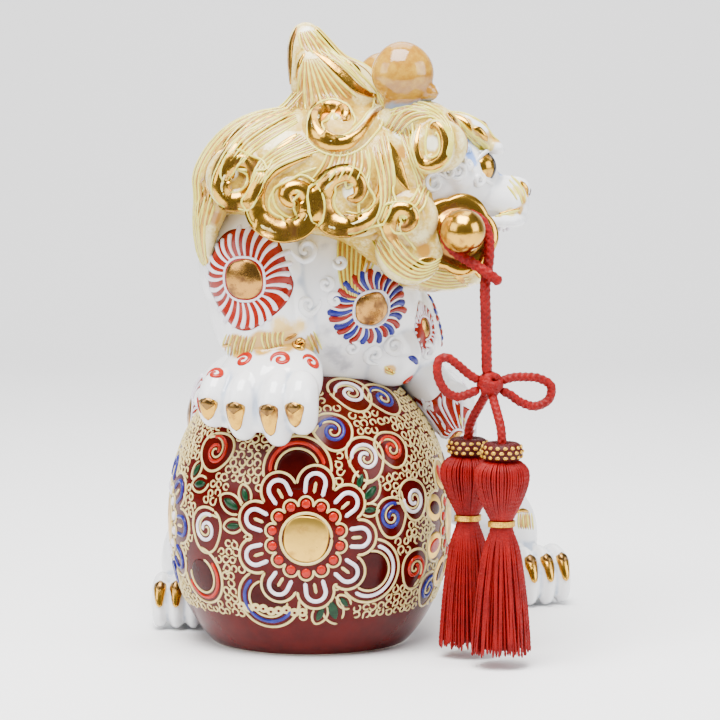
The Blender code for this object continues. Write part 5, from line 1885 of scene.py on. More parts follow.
@dataclass
class Head:
    """The face: skull, brows, eyes, muzzle, lips, jaw, cheeks and ears."""

    palette: Palette
    voxel: float = 0.75 * MM

    def both(self, clay: Clay, marks: Sequence[tuple[float, float, float]], widths: Sequence[float],
             depths: Sequence[float], fullness: float = 2.2) -> None:
        """Add a form and its mirror image, from head coordinates with the side offset first positive to the right."""
        for hand in (1, -1):
            spine = [in_head(forward, hand * side, up) for forward, side, up in marks]
            loft(clay, spine, widths, depths, RIGHTWARD, fullness, 24, 24)

    def skull(self) -> bpy.types.Object:
        """The white casting of the face."""
        clay = Clay()
        spine = heads((-26, 0, 0), (-4, 0, 0), (22, 0, 0), (40, 0, 0), (52, 0, -5), (63, 0, -9))
        loft(clay, spine, [27, 30, 29, 23, 16, 10], [27, 30, 27.5, 20, 12, 7], RIGHTWARD, 2.6, 56, 50)
        loft(clay, heads((38, 0, -6), (52, 0, -7.5), (61, 0, -8.5), (68.6, 0, -9)), [17, 15.5, 14.5, 11.5],
             [10, 10.6, 10.4, 8.6], RIGHTWARD, 2.8)
        self.both(clay, [(31, 9, 24), (40, 12, 21.5), (47.5, 13.5, 17), (52.5, 14, 12)], [5.5, 6.5, 6.5, 4.5],
                  [3.5, 4.3, 4.3, 3.0])
        self.both(clay, [(46, 12, 20), (50, 14, 18)], [4.5, 4.5], [3.2, 3.2], 2.0)
        self.both(clay, [(48, 13.5, 14.5), (54, 14.3, 11.8), (57, 14.5, 10.2)], [4.5, 4.2, 2.0], [3.6, 2.8, 1.4], 2.0)
        self.both(clay, [(50, 7, 1), (58, 6.5, -0.5), (64.5, 6, -2.5), (67.8, 5.5, -5.5)], [3.0, 3.2, 3.8, 3.4],
                  [2.6, 2.6, 3.4, 3.0])
        self.both(clay, [(44, 17.5, -16), (54, 15.2, -16.2), (61.5, 11.5, -15.8), (64.8, 5, -15.4),
                         (65.2, 0, -15.4)], [2.2, 2.8, 2.8, 2.6, 2.4],
                  [2.2, 2.5, 2.5, 2.4, 2.4])
        self.both(clay, [(30, 22, 6), (36, 22.5, 2), (44, 19, -2)], [3.5, 4.5, 3], [6, 7, 5])
        face = cast("face", clay, self.voxel, 3, self.palette.white, 0.5 * MM)
        report(face, Body.LION, "head", "head")
        return face

    def eyes(self) -> None:
        """Bulging gold eyes with black slit pupils and lids."""
        gold, black, lids = Clay(), Clay(), Clay()
        for hand in (1, -1):
            centre, radius = in_head(47.4, hand * 12.6, 4.6), 6.4
            out = (FORWARD * 0.86 + RIGHTWARD * (hand * 0.5) + UPWARD * 0.05).normalized()
            side = out.cross(UPWARD).normalized()
            loft(gold, [centre - out * radius * MM, centre, centre + out * radius * MM], [6.2] * 3, [6.2] * 3, side,
                 2.0, 32, 24)
            up = side.cross(out)
            angles = [math.radians(66 - 132 * index / 16) for index in range(17)]
            pupil = Stroke([centre + (out * math.cos(a) * 6.3 + up * math.sin(a) * 6.1) * MM for a in angles],
                           [out * math.cos(a) + up * math.sin(a) for a in angles])
            pupil.lay(black, 2.2 * MM, 0.5 * MM, [0.3, 0.9, 1.0, 0.9, 0.3])
            for tilt in (0.62, -0.66):
                lid = [centre + (out * (4.2 * math.cos(a)) + side * (6.6 * math.sin(a)) + up
                                 * (tilt * 9.6 * math.cos(a))) * MM
                       for a in (math.radians(-85 + 170 * index / 14) for index in range(15))]
                Stroke(lid, [(point - centre).normalized()
                             for point in lid]).lay(lids, 1.5 * MM, 1.0 * MM, [0.5, 1, 1, 1, 0.5])
        report(gold.piece("eyes", self.palette.gold), Body.LION, "head")
        report(black.piece("pupils", self.palette.black), Body.LION, "head")
        report(lids.piece("eyelids", self.palette.white), Body.LION, "head")

    def mouth(self) -> None:
        """Lower jaw with its lip, tongue, teeth and fangs."""
        jaw, teeth, flesh = Clay(), Clay(), Clay()
        loft(jaw, heads((12, 0, -34), (28, 0, -34.5), (42, 0, -34.5), (51, 0, -32)), [20, 22, 18, 12],
             [8.2, 8.2, 7.6, 5.6], RIGHTWARD, 2.6, 48, 36)
        self.both(jaw, [(22, 20, -27), (36, 19, -27), (47, 12, -27.5), (51, 4, -28), (51.5, 0, -28)],
                  [2.2, 2.6, 2.6, 2.4, 2.2],
                  [1.8, 2.2, 2.4, 2.2, 2.0])
        for index in range(5):
            side = (index - 2) * 6.5
            curl = heads((44 - abs(side) * 0.3, side, -36), (49 - abs(side) * 0.3, side, -37.5),
                         (50 - abs(side) * 0.3, side, -34.0))
            loft(jaw, curl, [3.2, 3.0, 1.6], [2.6, 2.4, 1.4], RIGHTWARD, 2.0, 20, 16)
        piece = cast("jaw_casting", jaw, 0.75 * MM, 4, self.palette.mane, 0.8 * MM)
        report(piece, Body.LION, "lower_jaw", "lower_jaw")
        relief = Relief("jaw", "lower_jaw")
        surface = Surface(piece)
        Flow(((392, 262), (412, 280), (440, 288), (468, 286)), ((406, 250), (424, 266), (446, 273), (470, 273)),
             6).comb(
            surface, relief, self.palette, True)
        for pixels in (((450, 268), (457, 275), (464, 283)), ((470, 264), (476, 270), (480, 278))):
            for line in surface.lines(pixels, True, FINE_STEP):
                surface.coat(relief.clay(self.palette.gold), line, 3.2 * MM, 0.5 * MM, [0.6, 1.0, 1.0, 0.7])
        relief.pieces()
        loft(flesh, heads((18, 0, -27), (32, 0, -26), (44, 0, -25.4), (48, 0, -26)), [9, 10, 9, 6],
             [2.4, 2.4, 2.2, 1.6], RIGHTWARD, 2.4)
        report(flesh.piece("tongue", self.palette.rust), Body.LION, "head")
        for hand in (1, -1):
            for index in range(6):
                share = (index + 0.5) / 6
                forward, side = 61.5 - 20.0 * share, hand * (2.0 + 11.0 * share**0.8)
                fang = 1.5 if index == 2 else 0.7
                loft(teeth, heads((forward, side, -15), (forward, side, -17.5),
                                  (forward - 0.4, side * 0.98, -18.5 - 1.8 * fang)),
                     [1.5, 1.5, 0.5], [1.3, 1.3, 0.5], RIGHTWARD, 2.2, 16, 12)
                forward, side = 50.0 - 20.0 * share, hand * (2.0 + 15.5 * share**0.8)
                loft(teeth, heads((forward, side, -29), (forward, side, -27), (forward, side, -25.0)),
                     [1.4, 1.4, 0.8], [1.2, 1.2, 0.7], RIGHTWARD, 2.2, 16, 12)
        report(teeth.piece("teeth", self.palette.chalk), Body.LION, "head")

    def ears(self) -> None:
        """Egg-shaped ears in orange wash, each with a small lobe, on blue-grey roots."""
        for hand, name in ((1, "ear_right"), (-1, "ear_left")):
            clay = Clay()
            loft(clay, heads((19, hand * 18, 18), (18, hand * 21, 26), (17, hand * 23, 37)), [6.0, 6.2, 6.5],
                 [8.6, 8.2, 8.6], RIGHTWARD, 3.0, 32, 24)
            loft(clay, heads((17.2, hand * 23.6, 28.3), (16.6, hand * 24, 40), (15.6, hand * 24, 51.6)),
                 [9.0, 9.6, 9.0],
                 [11.6, 11.9, 10.6], RIGHTWARD, 2.05, 40, 32)
            loft(clay, heads((22, hand * 23.5, 34), (26.5, hand * 24.5, 32.6), (30.6, hand * 24, 33.4)),
                 [4.5, 4.0, 2.4],
                 [4.6, 3.8, 2.2], RIGHTWARD, 2.2, 24, 20)
            ear = cast(name + "_casting", clay, 0.7 * MM, 4, self.palette.ear, 0.8 * MM)
            blue, white = (0.19, 0.23, 0.30), (0.80, 0.80, 0.80)
            roots = [Brushing(in_head(18 + shift, hand * out, 21.5 + rise), 9.0, blue, 1.4) for shift, out, rise in
                     ((-6, 26, 0), (2, 28, 0), (8, 24, 2), (0, 16, 0), (6, 12, 0))]
            brush(ear, [*roots, Brushing(in_head(31, hand * 26, 34), 3.4, white, 0.9)])
            report(ear, Body.LION, name, name)

    def enamels(self, face: bpy.types.Object) -> None:
        """Blue temples, yellow brows with gold, white cheek curls and nose streaks."""
        surface = Surface(face)
        relief = Relief("face", "head")
        p = self.palette
        blue, ochre, straw = (0.20, 0.33, 0.72), (0.58, 0.33, 0.05), (0.74, 0.60, 0.22)
        washes = [((446, 118), 4.0, blue, 0.8), ((455, 128), 4.5, blue, 0.8), ((462, 139), 4.5, blue, 0.7),
                  ((468, 152), 4.5, blue, 0.8),
                  ((473, 162), 3.5, blue, 0.7), ((500, 174), 2.6, blue, 0.6), ((432, 112), 4.0, blue, 1.0),
                  ((456, 117), 4.2, straw, 1.3), ((464, 124), 4.2, ochre, 1.2), ((472, 133), 4.0, straw, 1.3),
                  ((480, 138), 4.2, ochre, 1.2),
                  ((487, 146), 3.6, straw, 1.3), ((518, 190), 3.6, straw, 0.9), ((524, 200), 3.2, ochre, 0.7),
                  ((510, 213), 3.0, straw, 1.0),
                  ((520, 210), 3.0, ochre, 0.8), ((498, 216), 2.6, ochre, 0.7)]
        brows = [Brushing(in_head(forward, hand * side, up), 6.0, colour, 1.3) for hand in (1, -1) for forward, side,
                 up, colour in
                 ((34, 9, 27, ochre), (40, 12, 27, straw), (46, 13, 23, straw), (52, 14, 16, ochre))]
        brush(face, brows + surface.brushings(washes, True))
        both = ((p.lemon, [(446, 114), (458, 121), (468, 130), (478, 140), (489, 152)], 1.5, 0.5),
                (p.gold, [(451, 114), (460, 118), (467, 124), (472, 131)], 2.3, 0.5),
                (p.gold, [(473, 128), (479, 130), (484, 136), (487, 141)], 2.6, 0.6),
                (p.lemon, [(456, 126), (466, 134), (476, 144), (486, 151)], 1.4, 0.5),
                (p.gold, [(458, 130), (468, 137), (478, 146)], 1.2, 0.3),
                (p.lemon, [(476, 136), (483, 142), (490, 149)], 1.4, 0.5),
                (p.white, [(478, 152), (485, 154), (491, 155)], 2.0, 0.8),
                (p.lemon, [(495, 217), (506, 214), (519, 210)], 1.5, 0.5),
                (p.gold, [(498, 214), (508, 212), (520, 208)], 1.2, 0.3),
                (p.thin_gold, [(504, 171), (509, 173), (514, 177)], 1.3, 0.4),
                (p.gold, [(520, 181), (526, 188), (527.5, 197)], 1.8, 0.5),
                (p.lemon, [(511, 176), (519, 184), (524, 193), (525, 201)], 1.1, 0.4),
                (p.lemon, [(509, 180), (516, 188), (520, 196), (522, 204)], 1.1, 0.4),
                (p.lemon, [(507, 186), (513, 193), (517, 200)], 1.0, 0.4))
        for finish, pixels, width, height in both:
            for line in surface.lines(pixels, True, FINE_STEP):
                surface.coat(relief.clay(finish), line, width * MM, height * MM, [0.6, 1.0, 1.0, 0.9, 0.5])
        for hand in (1, -1):
            strands(surface, relief, p,
                    [heads((32, hand * (9 + s), 30), (41, hand * (12 + s), 29), (50, hand * (14 + s), 22),
                           (55, hand * (14 + 0.5 * s), 15)) for s in (-4.5, -2.5, -0.4, 1.8, 3.8)], 1.0)
            nostril = surface.drawn(heads((71, hand * 7.0, -6.0), (73, hand * 5.2, -4.2), (73, hand * 3.4, -5.2)),
                                    0.5 * MM)
            nostril.lay(relief.clay(p.wine), 2.0 * MM, 0.4 * MM, [0.6, 1.0, 0.6])
        curls = (((434, 183), 4.4, 30, 1, p.white), ((458, 170), 3.7, 200, 1, p.white),
                 ((478, 179), 2.9, 60, -1, p.white),
                 ((458, 145), 3.4, 300, 1, p.white), ((447, 172), 2.6, 90, -1, p.white),
                 ((468, 164), 2.4, 120, 1, p.white),
                 ((466, 150), 1.6, 300, 1, p.pale_blue))
        for pixel, size, start, hand, finish in curls:
            hit = surface.seen(pixel)
            if hit:
                patch = Patch(surface, hit[0], hit[1], UPWARD)
                line = patch.line([(x * MM, y * MM) for x, y in spiral(size, 0.14 * size, start, hand * 1.45, 24)])
                for copy in (line, surface.mirrored(line)):
                    copy.lay(relief.clay(finish), 2.3 * MM, 1.7 * MM, [0.4, 1.0, 1.0, 0.9, 0.8])
        relief.pieces()

    def build(self) -> bpy.types.Object:
        """Cast the head and lay its enamels."""
        face = self.skull()
        self.eyes()
        self.mouth()
        self.ears()
        self.enamels(face)
        return face


@dataclass
class Mane:
    """The mane, its moulded curls and the crest, in yellow wash with lemon and gold lines."""

    palette: Palette
    voxel: float = 0.85 * MM
    beside: float = 1.4  # millimetres from a gold band's rim to the lines beside it
    bands: tuple = (6.6, 7.0, 8.2, 8.0, 4.2, 5.8)  # widths of the ridges' gold, millimetres
    ridges: tuple = (
        ((388, 103), (376, 112), (366, 126), (352, 140), (336, 144), (320, 137), (314, 124), (318, 112), (328, 106),
         (341, 108),
         (347, 115), (343, 121)),
        ((288, 117), (258, 132), (237, 148), (224, 170), (219, 188), (228, 201), (246, 198), (256, 181), (250, 164),
         (239, 160),
         (231, 168), (233, 178)),
        ((312, 155), (290, 163), (270, 174), (258, 190), (255, 208), (262, 222), (282, 231), (302, 226), (311, 210),
         (307, 194),
         (294, 187), (285, 193), (289, 203), (297, 204)),
        ((378, 148), (383, 170), (382, 195), (371, 217), (351, 226), (330, 223), (321, 206), (323, 188), (336, 176),
         (352, 174),
         (361, 186), (357, 198), (347, 198)),
        ((421, 124), (417, 137), (417, 152), (421, 163), (431, 165), (442, 159), (446, 146), (443, 132), (436, 124),
         (430, 128)),
        ((409, 258), (399, 247), (390, 232), (391, 216), (400, 208), (411, 212), (412, 222), (404, 228), (399, 222)),
    )
    gilt: tuple = (
        (((388, 141), (396, 160), (402, 178), (409, 190)), 4.4), (((293, 102), (275, 110), (253, 122)), 2.0),
        (((233, 138), (222, 155), (214, 172), (212, 182)), 3.4), (((297, 134), (285, 143), (272, 151)), 2.4),
        (((208, 180), (200, 202), (197, 226)), 2.6), (((297, 27), (291, 45), (290, 66), (291, 84)), 2.8),
        (((305, 53), (299, 64), (296, 78)), 1.8), (((312, 50), (325, 59), (343, 75), (358, 89), (380, 98)), 3.6),
        (((346, 60), (355, 66), (361, 74)), 2.2), (((407, 272), (420, 264), (436, 259)), 3.8),
                   (((452, 270), (463, 281)), 2.6),
    )
    flows: tuple = (
        Flow(((303, 60), (299, 85), (297, 112)), ((318, 58), (338, 80), (356, 97)), 8),
        Flow(((299, 32), (300, 42), (303, 50)), ((309, 30), (322, 45), (334, 62)), 4),
        Flow(((320, 50), (345, 68), (372, 94)), ((312, 30), (332, 50), (352, 70)), 3),
        Flow(((292, 98), (262, 110), (238, 128), (221, 150), (214, 172)),
             ((298, 122), (274, 137), (252, 152), (242, 164)), 8),
        Flow(((300, 134), (276, 148), (258, 164), (250, 184)), ((322, 150), (298, 158), (276, 168), (262, 184)), 6),
        Flow(((328, 152), (321, 168), (310, 182)), ((368, 148), (370, 165), (366, 180)), 7),
        Flow(((372, 150), (380, 180), (380, 208), (370, 228)), ((386, 128), (392, 165), (393, 195), (388, 218)), 4),
        Flow(((398, 130), (412, 165), (420, 195)), ((408, 126), (414, 155), (424, 180)), 3),
        Flow(((384, 128), (400, 106), (424, 103), (444, 116), (453, 138), (448, 160)),
             ((398, 136), (410, 122), (424, 117), (437, 119), (449, 138), (446, 155)), 4),
        Flow(((372, 240), (388, 266), (414, 280), (444, 270)), ((398, 240), (412, 256), (428, 264), (444, 256)), 6),
        Flow(((209, 178), (200, 200), (197, 226)), ((218, 190), (214, 206), (208, 226)), 4),
        Flow(((420, 184), (412, 200), (402, 206)), ((430, 186), (424, 206), (416, 214)), 3),
        Flow(((200, 196), (193, 224), (197, 250), (207, 284)), ((211, 196), (205, 224), (205, 250), (210, 284)), 3),
        Flow(((386, 106), (404, 103), (424, 106), (440, 113)), ((392, 116), (406, 110), (422, 112), (434, 117)), 3),
    )

    def forms(self) -> Clay:
        """The mane's volume with its lens-shaped curls and the crest."""
        clay = Clay()
        spine = heads((-60, 0, -3), (-38, 0, 4), (-16, 0, 4), (6, 0, 0), (24, 0, -8), (35, 0, -9))
        loft(clay, spine, [25, 31, 33, 34.2, 32.6, 29.5], [17, 24, 25, 29.5, 34.6, 31.5], RIGHTWARD, 2.6, 64, 60)
        loft(clay, heads((-46, 0, 4), (-53.5, -1, -8), (-56, -5, -24), (-52.5, -8, -40)), [16, 17, 12, 6],
             [10, 7.0, 3.6, 1.8], RIGHTWARD, 2.4)
        discs = ((-27, -8, 27.0, 14.0), (-2, -7.5, 30.0, 14.5), (-46, 1, 22.0, 12.0), (18, -15, 31.0, 10.5),
                 (30, 12, 30.0, 10.0),
                 (18, -27, 28.0, 13.0))
        for forward, up, seat, radius in discs:
            for hand in (1, -1):
                spine = [in_head(forward, hand * out, up) for out in (seat - 14.0, seat - 2.0, seat + 4.2)]
                loft(clay, spine, [radius] * 3, [radius] * 3, FORWARD, 3.0, 36, 20)
        for hand in (1, -1):
            loft(clay, heads((4, hand * 20, 19), (18, hand * 22, 22.5), (30, hand * 23, 20), (38, hand * 23, 10)),
                 [6, 7, 7, 4], [6.5, 7.5, 7.5, 5], RIGHTWARD, 2.3)
        loft(clay, heads((-1, 0, 21), (-5.5, 0, 31.4), (-11.8, 0, 41.8), (-16, 0, 52.2), (-18.3, 0, 61)),
             [14, 12, 8.5, 6.5, 5.5], [24, 20, 12.5, 9, 7.5], RIGHTWARD, 2.5)
        for hand in (1, -1):
            loft(clay, heads((0, hand * 10.0, 22), (-7, hand * 8.0, 34), (-15.5, hand * 5.5, 45),
                             (-18.5, hand * 4.0, 51)),
                 [5.0, 5.0, 4.4, 3.4], [20, 15, 7, 3.5], RIGHTWARD, 2.3)
        return clay

    def cast(self) -> bpy.types.Object:
        """Fuse the volume with ridges that wind along the photograph's curls."""
        clay = self.forms()
        guide = cast("mane_rough", self.forms(), 1.2 * MM, 3)
        rough = Surface(guide)
        for pixels in self.ridges:
            for line in rough.lines(pixels, True):
                sunk = line.raised(-1.8 * MM)
                sunk.lay(clay, 8.8 * MM, 5.7 * MM, [0.35, 0.60, 0.90, 1.0, 1.0, 1.0, 0.90, 0.85], 0.6)
        bpy.data.objects.remove(guide, do_unlink=True)
        mane = cast("mane_casting", clay, self.voxel, 2, self.palette.mane, 0.7 * MM)
        report(mane, Body.LION, "mane", "mane", "crest")
        return mane

    def build(self) -> bpy.types.Object:
        """Cast the mane and lay its lines."""
        mane = self.cast()
        surface = Surface(mane)
        relief = Relief("mane", "mane")
        p = self.palette
        ochre, cream = (0.44, 0.21, 0.025), (0.84, 0.80, 0.62)
        washes = [(pixel, 4.6, ochre, 0.8)
                  for pixel in ((300, 95), (320, 92), (345, 95), (344, 166), (360, 160), (352, 262), (300, 250),
                                                         (404, 152), (408, 110), (424, 250), (216, 218), (272, 160),
                                (285, 240))]
        # The pale cream patches are painted highlight, on the crest and on the curls, over the mane's pale ground.
        washes += [(pixel, 4.2, cream, 0.9)
                   for pixel in ((309, 32), (336, 116), (233, 172), (350, 192), (290, 196), (432, 143), (400, 134),
                                 (335, 48))]
        brush(mane, surface.brushings(washes, True))
        for pixels, width in zip(self.ridges, self.bands):
            for line in surface.lines(pixels, True):
                self.edge(surface, line, relief, width)
        for pixels, width in self.gilt:
            for line in surface.lines(pixels, True):
                surface.coat(relief.clay(p.gold), line, width * MM, 0.32 * MM, [0.35, 0.9, 1.1, 0.9, 0.35], 0.6)
        for flow in self.flows:
            flow.comb(surface, relief, p, True)
        strands(surface, relief, p,
                [heads((-24, s, 34), (-44, s, 26), (-62, s, 10), (-70, 0.9 * s, -6), (-66, 0.7 * s, -22),
                       (-60, 0.4 * s - 5, -40)) for s in range(-18, 19, 3)])
        strands(surface, relief, p, [heads((14, s, 30), (2, 0.8 * s, 40), (-6, 0.6 * s, 50), (-14, 0.3 * s, 58))
                                     for s in range(-12, 13, 3)])
        for hand in (1, -1):
            strands(surface, relief, p, [heads((34, hand * s, 26), (44, hand * s, 18), (45, hand * s, 8))
                                         for s in (25, 27, 29, 31)])
        relief.pieces()
        return mane

    def edge(self, surface: Surface, line: Stroke, relief: Relief, width: float) -> None:
        """Lay a broad gilt band over a ridge's top and lemon lines beside it."""
        surface.coat(relief.clay(self.palette.gold), line, width * MM, 0.3 * MM,
                     [0.22, 0.38, 0.65, 0.98, 1.1, 1.1, 1.0, 0.8, 0.6])
        for side in (-1, 1):
            points = []
            for index, (point, normal) in enumerate(zip(line.points, line.normals)):
                ahead = line.points[min(index + 1, len(line.points) - 1)] - line.points[max(index - 1, 0)]
                points.append(point + ahead.cross(normal).normalized() * (side * (0.45 * width + self.beside) * MM))
            found = [surface.nearest(point) for point in points]
            Stroke.of(found).smoothed().lay(relief.clay(self.palette.lemon), 1.1 * MM, 0.5 * MM)


@dataclass
class Tail:
    """The flame-like tail up the back, combed into five locks."""

    palette: Palette

    def build(self) -> None:
        """Cast the tail."""
        clay = Clay()
        spine = [mm(17, 88, 58), mm(17, 100, 82), mm(16, 94, 108), mm(15, 78, 134), mm(15, 72, 150)]
        loft(clay, spine, [9, 14, 15.5, 10.5, 2], [7, 8.5, 9.2, 7.5, 2], FORWARD, 2.2, 40, 36)
        for index in range(5):
            offset = (index - 2) * 5.6
            lock = [point + FORWARD * (offset * share * MM) + Vector((0.0, 3.4 * MM, 0.0)) for point, share in
                    zip(spine, (0.6, 1.0, 1.15, 0.8, 0.1))]
            loft(clay, lock, [2.6, 3.2, 3.6, 3.0, 1.2], [5, 6.8, 7.4, 5.8, 1.6], FORWARD, 2.0, 24, 36)
        tail = cast("tail_casting", clay, 0.9 * MM, 2, self.palette.mane, 0.7 * MM)
        report(tail, Body.LION, "tail", "tail")
        relief = Relief("tail", "tail")
        for out in (12.0, -12.0):
            lines = [[point + FORWARD * (offset * share * MM) + Vector((0.0, out * MM, 0.0)) for point, share in
                      zip(spine, (0.8, 1.0, 1.1, 0.8, 0.1))] for offset in range(-14, 15, 2)]
            strands(Surface(tail), relief, self.palette, lines, 1.1)
        relief.pieces()


@dataclass
class Knob:
    """A gilded knob on the cheek: lobed flange like a flower, neck and dome."""

    palette: Palette
    flange: float = 15.4 * MM
    thickness: float = 5.0 * MM
    lobes: int = 5
    neck: float = 3.6 * MM
    dome: float = 8.5 * MM
    dome_height: float = 9.6 * MM
    cord_gap: float = 4.6 * MM

    def profile(self) -> list[tuple[float, float]]:
        """Half section from the stub's back over the flange and neck to the dome's top."""
        start, end = self.thickness + 1.4 * MM, self.thickness + 1.4 * MM + self.cord_gap
        marks = [(self.neck, -8 * MM), (self.neck, 0.0), (self.flange - 2.4 * MM, 0.0)]
        for index in range(9):
            angle = math.radians(-80 + 165 * index / 8)
            marks.append((self.flange - 2.3 * MM + 2.3 * MM * math.cos(angle), 2.2 * MM + 2.2 * MM * math.sin(angle)))
        marks += [(0.76 * self.flange, 4.5 * MM), (0.66 * self.flange, 4.0 * MM), (0.60 * self.flange, 4.4 * MM),
                  (0.52 * self.flange, self.thickness + 0.5 * MM), (0.38 * self.flange, start - 0.2 * MM),
                  (self.neck + 0.3 * MM, start + 0.2 * MM), (self.neck, start + 0.8 * MM),
                  (self.neck, end - 0.6 * MM),
                  (self.neck + 0.8 * MM, end), (0.90 * self.dome, end + 0.1 * MM)]
        for index in range(1, 15):
            angle = 0.5 * math.pi * index / 14 - 0.25 * (1 - index / 14)
            marks.append((max(self.dome * math.cos(angle), 0.1 * MM), end + self.dome_height * math.sin(angle)))
        return marks

    def build(self, name: str, seat: Vector, axis: Vector) -> None:
        """Turn the knob and set it on its seat.

        Args:
            name: CAD node that it stands for.
            seat: Middle of the flange's back.
            axis: Direction out of the cheek.
        """
        turn = UP.rotation_difference(axis).to_matrix()
        clay = Clay()
        rings = []
        for radius, height in self.profile():
            ring = []
            for angle in turns(120):
                share = min(1.0, radius / self.flange) ** 3 * float(height < self.thickness + 0.4 * MM)
                wave = 1.0 + 0.055 * share * (abs(math.cos(0.5 * self.lobes * angle)) * 2.0 - 1.2)
                ring.append(seat + turn
                            @ Vector((radius * wave * math.cos(angle), radius * wave * math.sin(angle), height)))
            rings.append(ring)
        clay.rings(rings)
        knob = clay.piece(name + "_casting", self.palette.gold)
        store_hollows(knob, 0.5 * MM)
        report(knob, Body.LION, name, name)


@dataclass
class MouthBar:
    """The bar that the lion bites, with a knob on each end."""

    palette: Palette
    radius: float = 3.5 * MM
    seat: tuple = (36.0, 24.5, -21.4)
    knob_axis: Vector = field(default_factory=lambda: Vector((0.069, -0.978, 0.197)).normalized())

    def build(self) -> None:
        """Make the bar with its turned rings, and the knobs."""
        forward, side, up = self.seat
        right, left = in_head(forward, side, up), in_head(forward, -side, up)
        line = (right - left).normalized()
        clay = Clay()
        span = (right - left).length - 12 * MM
        across = line.orthogonal().normalized()
        turned = line.cross(across)
        rings = []
        for index in range(81):
            share = index / 80
            swell = 1.0 - 0.10 * max(0.0, 1.0 - abs((share * 8) % 1.0 - 0.5) * 8)
            middle = left + line * (6 * MM + span * share)
            rings.append([middle + (across * math.cos(a) + turned * math.sin(a)) * (self.radius * swell)
                          for a in turns(40)])
        clay.rings(rings)
        report(clay.piece("bar", self.palette.gold), Body.LION, "mouth_bar", "mouth_bar")
        Knob(self.palette).build("knob_right", right, self.knob_axis)
        mirror = self.knob_axis - RIGHTWARD * (2.0 * self.knob_axis.dot(RIGHTWARD))
        Knob(self.palette).build("knob_left", left, mirror.normalized())


